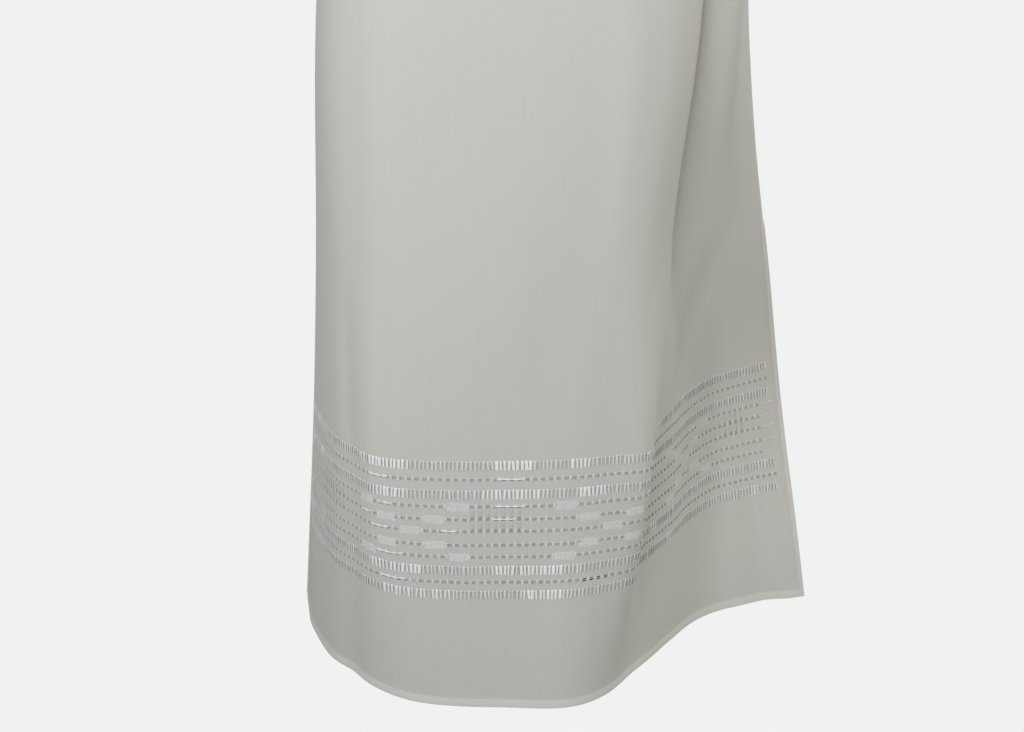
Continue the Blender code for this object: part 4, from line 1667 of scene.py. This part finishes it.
def binding_frame(border_of):
    """The line round an opening, with directions along it, into the opening and out of the dress."""
    points, away = [], []
    for side, order in (("front", 1), ("back", -1)):
        panel = PANELS[side]
        keys = border_of(panel)
        points.append(panel.at(keys)[::order][1:-1])
        away.append(into_cloth(panel, keys)[::order][1:-1])
    points, away = np.concatenate(points), np.concatenate(away)
    line = smoothed(evenly(points, BINDING_RING_PITCH), LINE_ROUNDS)
    nearest = np.argmin(np.linalg.norm(line[:, None] - points[None], axis=2), axis=1)
    along = unit(np.roll(line, -1, axis=0) - np.roll(line, 1, axis=0))
    into = -smoothed(away[nearest], DIRECTION_ROUNDS)
    into = unit(into - along * np.sum(into * along, axis=1)[:, None])
    outward = unit(np.cross(along, into))
    if np.mean(np.sum(outward * (line - CHEST_MIDDLE), axis=1)) < 0:
        outward = -outward
    return line, along, into, outward


def binding(name, border_of):
    line, along, into, outward = binding_frame(border_of)
    turn = np.linspace(0, 2 * np.pi, BINDING_SIDES, endpoint=False)
    wide = np.sign(np.cos(turn)) * np.abs(np.cos(turn)) ** BINDING_SQUARENESS
    deep = np.sign(np.sin(turn)) * np.abs(np.sin(turn)) ** BINDING_SQUARENESS
    middle = line + into * (BINDING_WIDTH / 2 - BINDING_LAP)
    rings = (middle[:, None] + into[:, None] * (wide * BINDING_WIDTH / 2)[None, :, None]
             + outward[:, None] * (deep * BINDING_DEPTH / 2)[None, :, None])
    count = len(line)
    base = np.arange(count * BINDING_SIDES).reshape(count, BINDING_SIDES)
    after, beside = np.roll(base, -1, axis=0), np.roll(base, -1, axis=1)
    quads = np.stack([base, beside, np.roll(beside, -1, axis=0), after], axis=-1).reshape(-1, 4)
    if np.dot(np.cross(into[0], outward[0]), along[0]) < 0:
        quads = quads[:, ::-1]
    run = np.arange(count) * BINDING_RING_PITCH
    uvs = np.stack([np.broadcast_to(turn * BINDING_WIDTH / 3, base.shape),
                    np.broadcast_to(run[:, None], base.shape)], axis=-1).reshape(-1, 2)
    made = mesh_object(name + "_rolled", rings.reshape(-1, 3), quads.tolist(), uvs, cotton)
    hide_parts(name)
    edge = (middle - into * (BINDING_WIDTH / 2 - BINDING_STITCH_IN)
            + outward * (BINDING_DEPTH / 2 - BINDING_STITCH_SUNK))
    stitches(name + "_stitches", edge, along, outward, BINDING_STITCH_LENGTH, STITCH_HALF)
    print(made.name, "is", round(count * BINDING_RING_PITCH, 3), "m round")


for name, border_of in BINDINGS.items():
    binding(name, border_of)

# %% [markdown]

# %% [markdown]
# ## Floor and light
#
# The picture's ground is one pale grey with no shadow in it, so floor and backdrop share that grey. The light
# is a dim even one all round and four soft boxes: the main one high in front, a weak warm one at each side,
# and one behind, which shines through the cloth a little. The fold on the right turns away from the front
# box and stays dark. One sky picture would be simpler, but boxes can be set one by one until the render's
# light and shade agree with the picture's.

# %% Floor
GROUND_GREY = (0.871, 0.888, 0.880)
FLOOR_BELOW_HEM = 0.13
FLOOR_RADIUS = 8

bpy.ops.mesh.primitive_circle_add(vertices=96, radius=FLOOR_RADIUS, fill_type="NGON",
                                  location=(0, 0, -LENGTH - FLOOR_BELOW_HEM))
floor = bpy.context.object
floor.name = "floor"
floor.visible_diffuse = False
floor.visible_glossy = False
floor.visible_transmission = False
pale = bpy.data.materials.new("pale_floor")
pale.use_nodes = True
pale.node_tree.nodes.clear()
glow = add_node(pale, "ShaderNodeEmission")
glow.inputs["Color"].default_value = (*GROUND_GREY, 1)
surface = add_node(pale, "ShaderNodeOutputMaterial")
pale.node_tree.links.new(glow.outputs["Emission"], surface.inputs["Surface"])
floor.data.materials.append(pale)
floor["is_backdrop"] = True
print("floor", FLOOR_BELOW_HEM, "m below the hem")

# %% Even light all round
AMBIENT = (0.90, 0.95, 1.00)
AMBIENT_STRENGTH = 0.31

world = bpy.data.worlds.new("studio")
world.use_nodes = True
scene.world = world
tree = world.node_tree
tree.nodes.clear()
seen = tree.nodes.new("ShaderNodeBackground")
seen.inputs["Color"].default_value = (*GROUND_GREY, 1)
lit = tree.nodes.new("ShaderNodeBackground")
lit.inputs["Color"].default_value = (*AMBIENT, 1)
lit.inputs["Strength"].default_value = AMBIENT_STRENGTH
path = tree.nodes.new("ShaderNodeLightPath")
choose = tree.nodes.new("ShaderNodeMixShader")
out = tree.nodes.new("ShaderNodeOutputWorld")
tree.links.new(path.outputs["Is Camera Ray"], choose.inputs["Fac"])
tree.links.new(lit.outputs["Background"], choose.inputs[1])
tree.links.new(seen.outputs["Background"], choose.inputs[2])
tree.links.new(choose.outputs["Shader"], out.inputs["Surface"])
print("even light of strength", AMBIENT_STRENGTH)

# %% Soft boxes
LAMP_COLUMNS = ("name", "place", "aim", "width", "height", "watts", "colour")
LAMPS = [
    ("front_box", (-0.45, -2.40, 0.60), (0.00, 0.00, -0.72), 0.8, 0.8, 55, (0.945, 0.935, 1.00)),
    ("left_box", (-2.20, -0.80, 0.35), (-0.15, 0.0, -0.70), 1.2, 1.4, 16, (1.00, 0.94, 0.83)),
    ("right_box", (2.20, -0.60, -0.20), (0.20, 0.05, -0.90), 1.0, 1.2, 14, (1.00, 0.90, 0.70)),
    ("back_box", (1.80, 1.70, 0.60), (0.0, 0.1, -0.65), 1.0, 1.2, 44, (0.97, 0.98, 1.00)),
]


def soft_box(entry):
    row = dict(zip(LAMP_COLUMNS, entry))
    lamp = bpy.data.lights.new(row["name"], "AREA")
    lamp.shape = "RECTANGLE"
    lamp.size, lamp.size_y = row["width"], row["height"]
    lamp.energy = row["watts"]
    lamp.color = row["colour"]
    made = bpy.data.objects.new(row["name"], lamp)
    made.location = row["place"]
    aim = np.array(row["aim"]) - np.array(row["place"])
    flat = math.hypot(aim[0], aim[1])
    made.rotation_euler = (math.atan2(flat, -aim[2]), 0, math.atan2(aim[1], aim[0]) - math.pi / 2)
    scene.collection.objects.link(made)


for entry in LAMPS:
    soft_box(entry)
scene.view_settings.view_transform = "Standard"
print("lamps:", [entry[0] for entry in LAMPS])

# %% [markdown]
# ## Close the lesson
#
# Count the triangles of each piece that is shown.

# %% Sizes and finish
triangles = {}
depsgraph = bpy.context.evaluated_depsgraph_get()
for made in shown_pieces():
    mesh = made.evaluated_get(depsgraph).data
    triangles[made.name] = sum(len(polygon.vertices) - 2 for polygon in mesh.polygons)
print("triangles:", triangles, "in all", sum(triangles.values()))
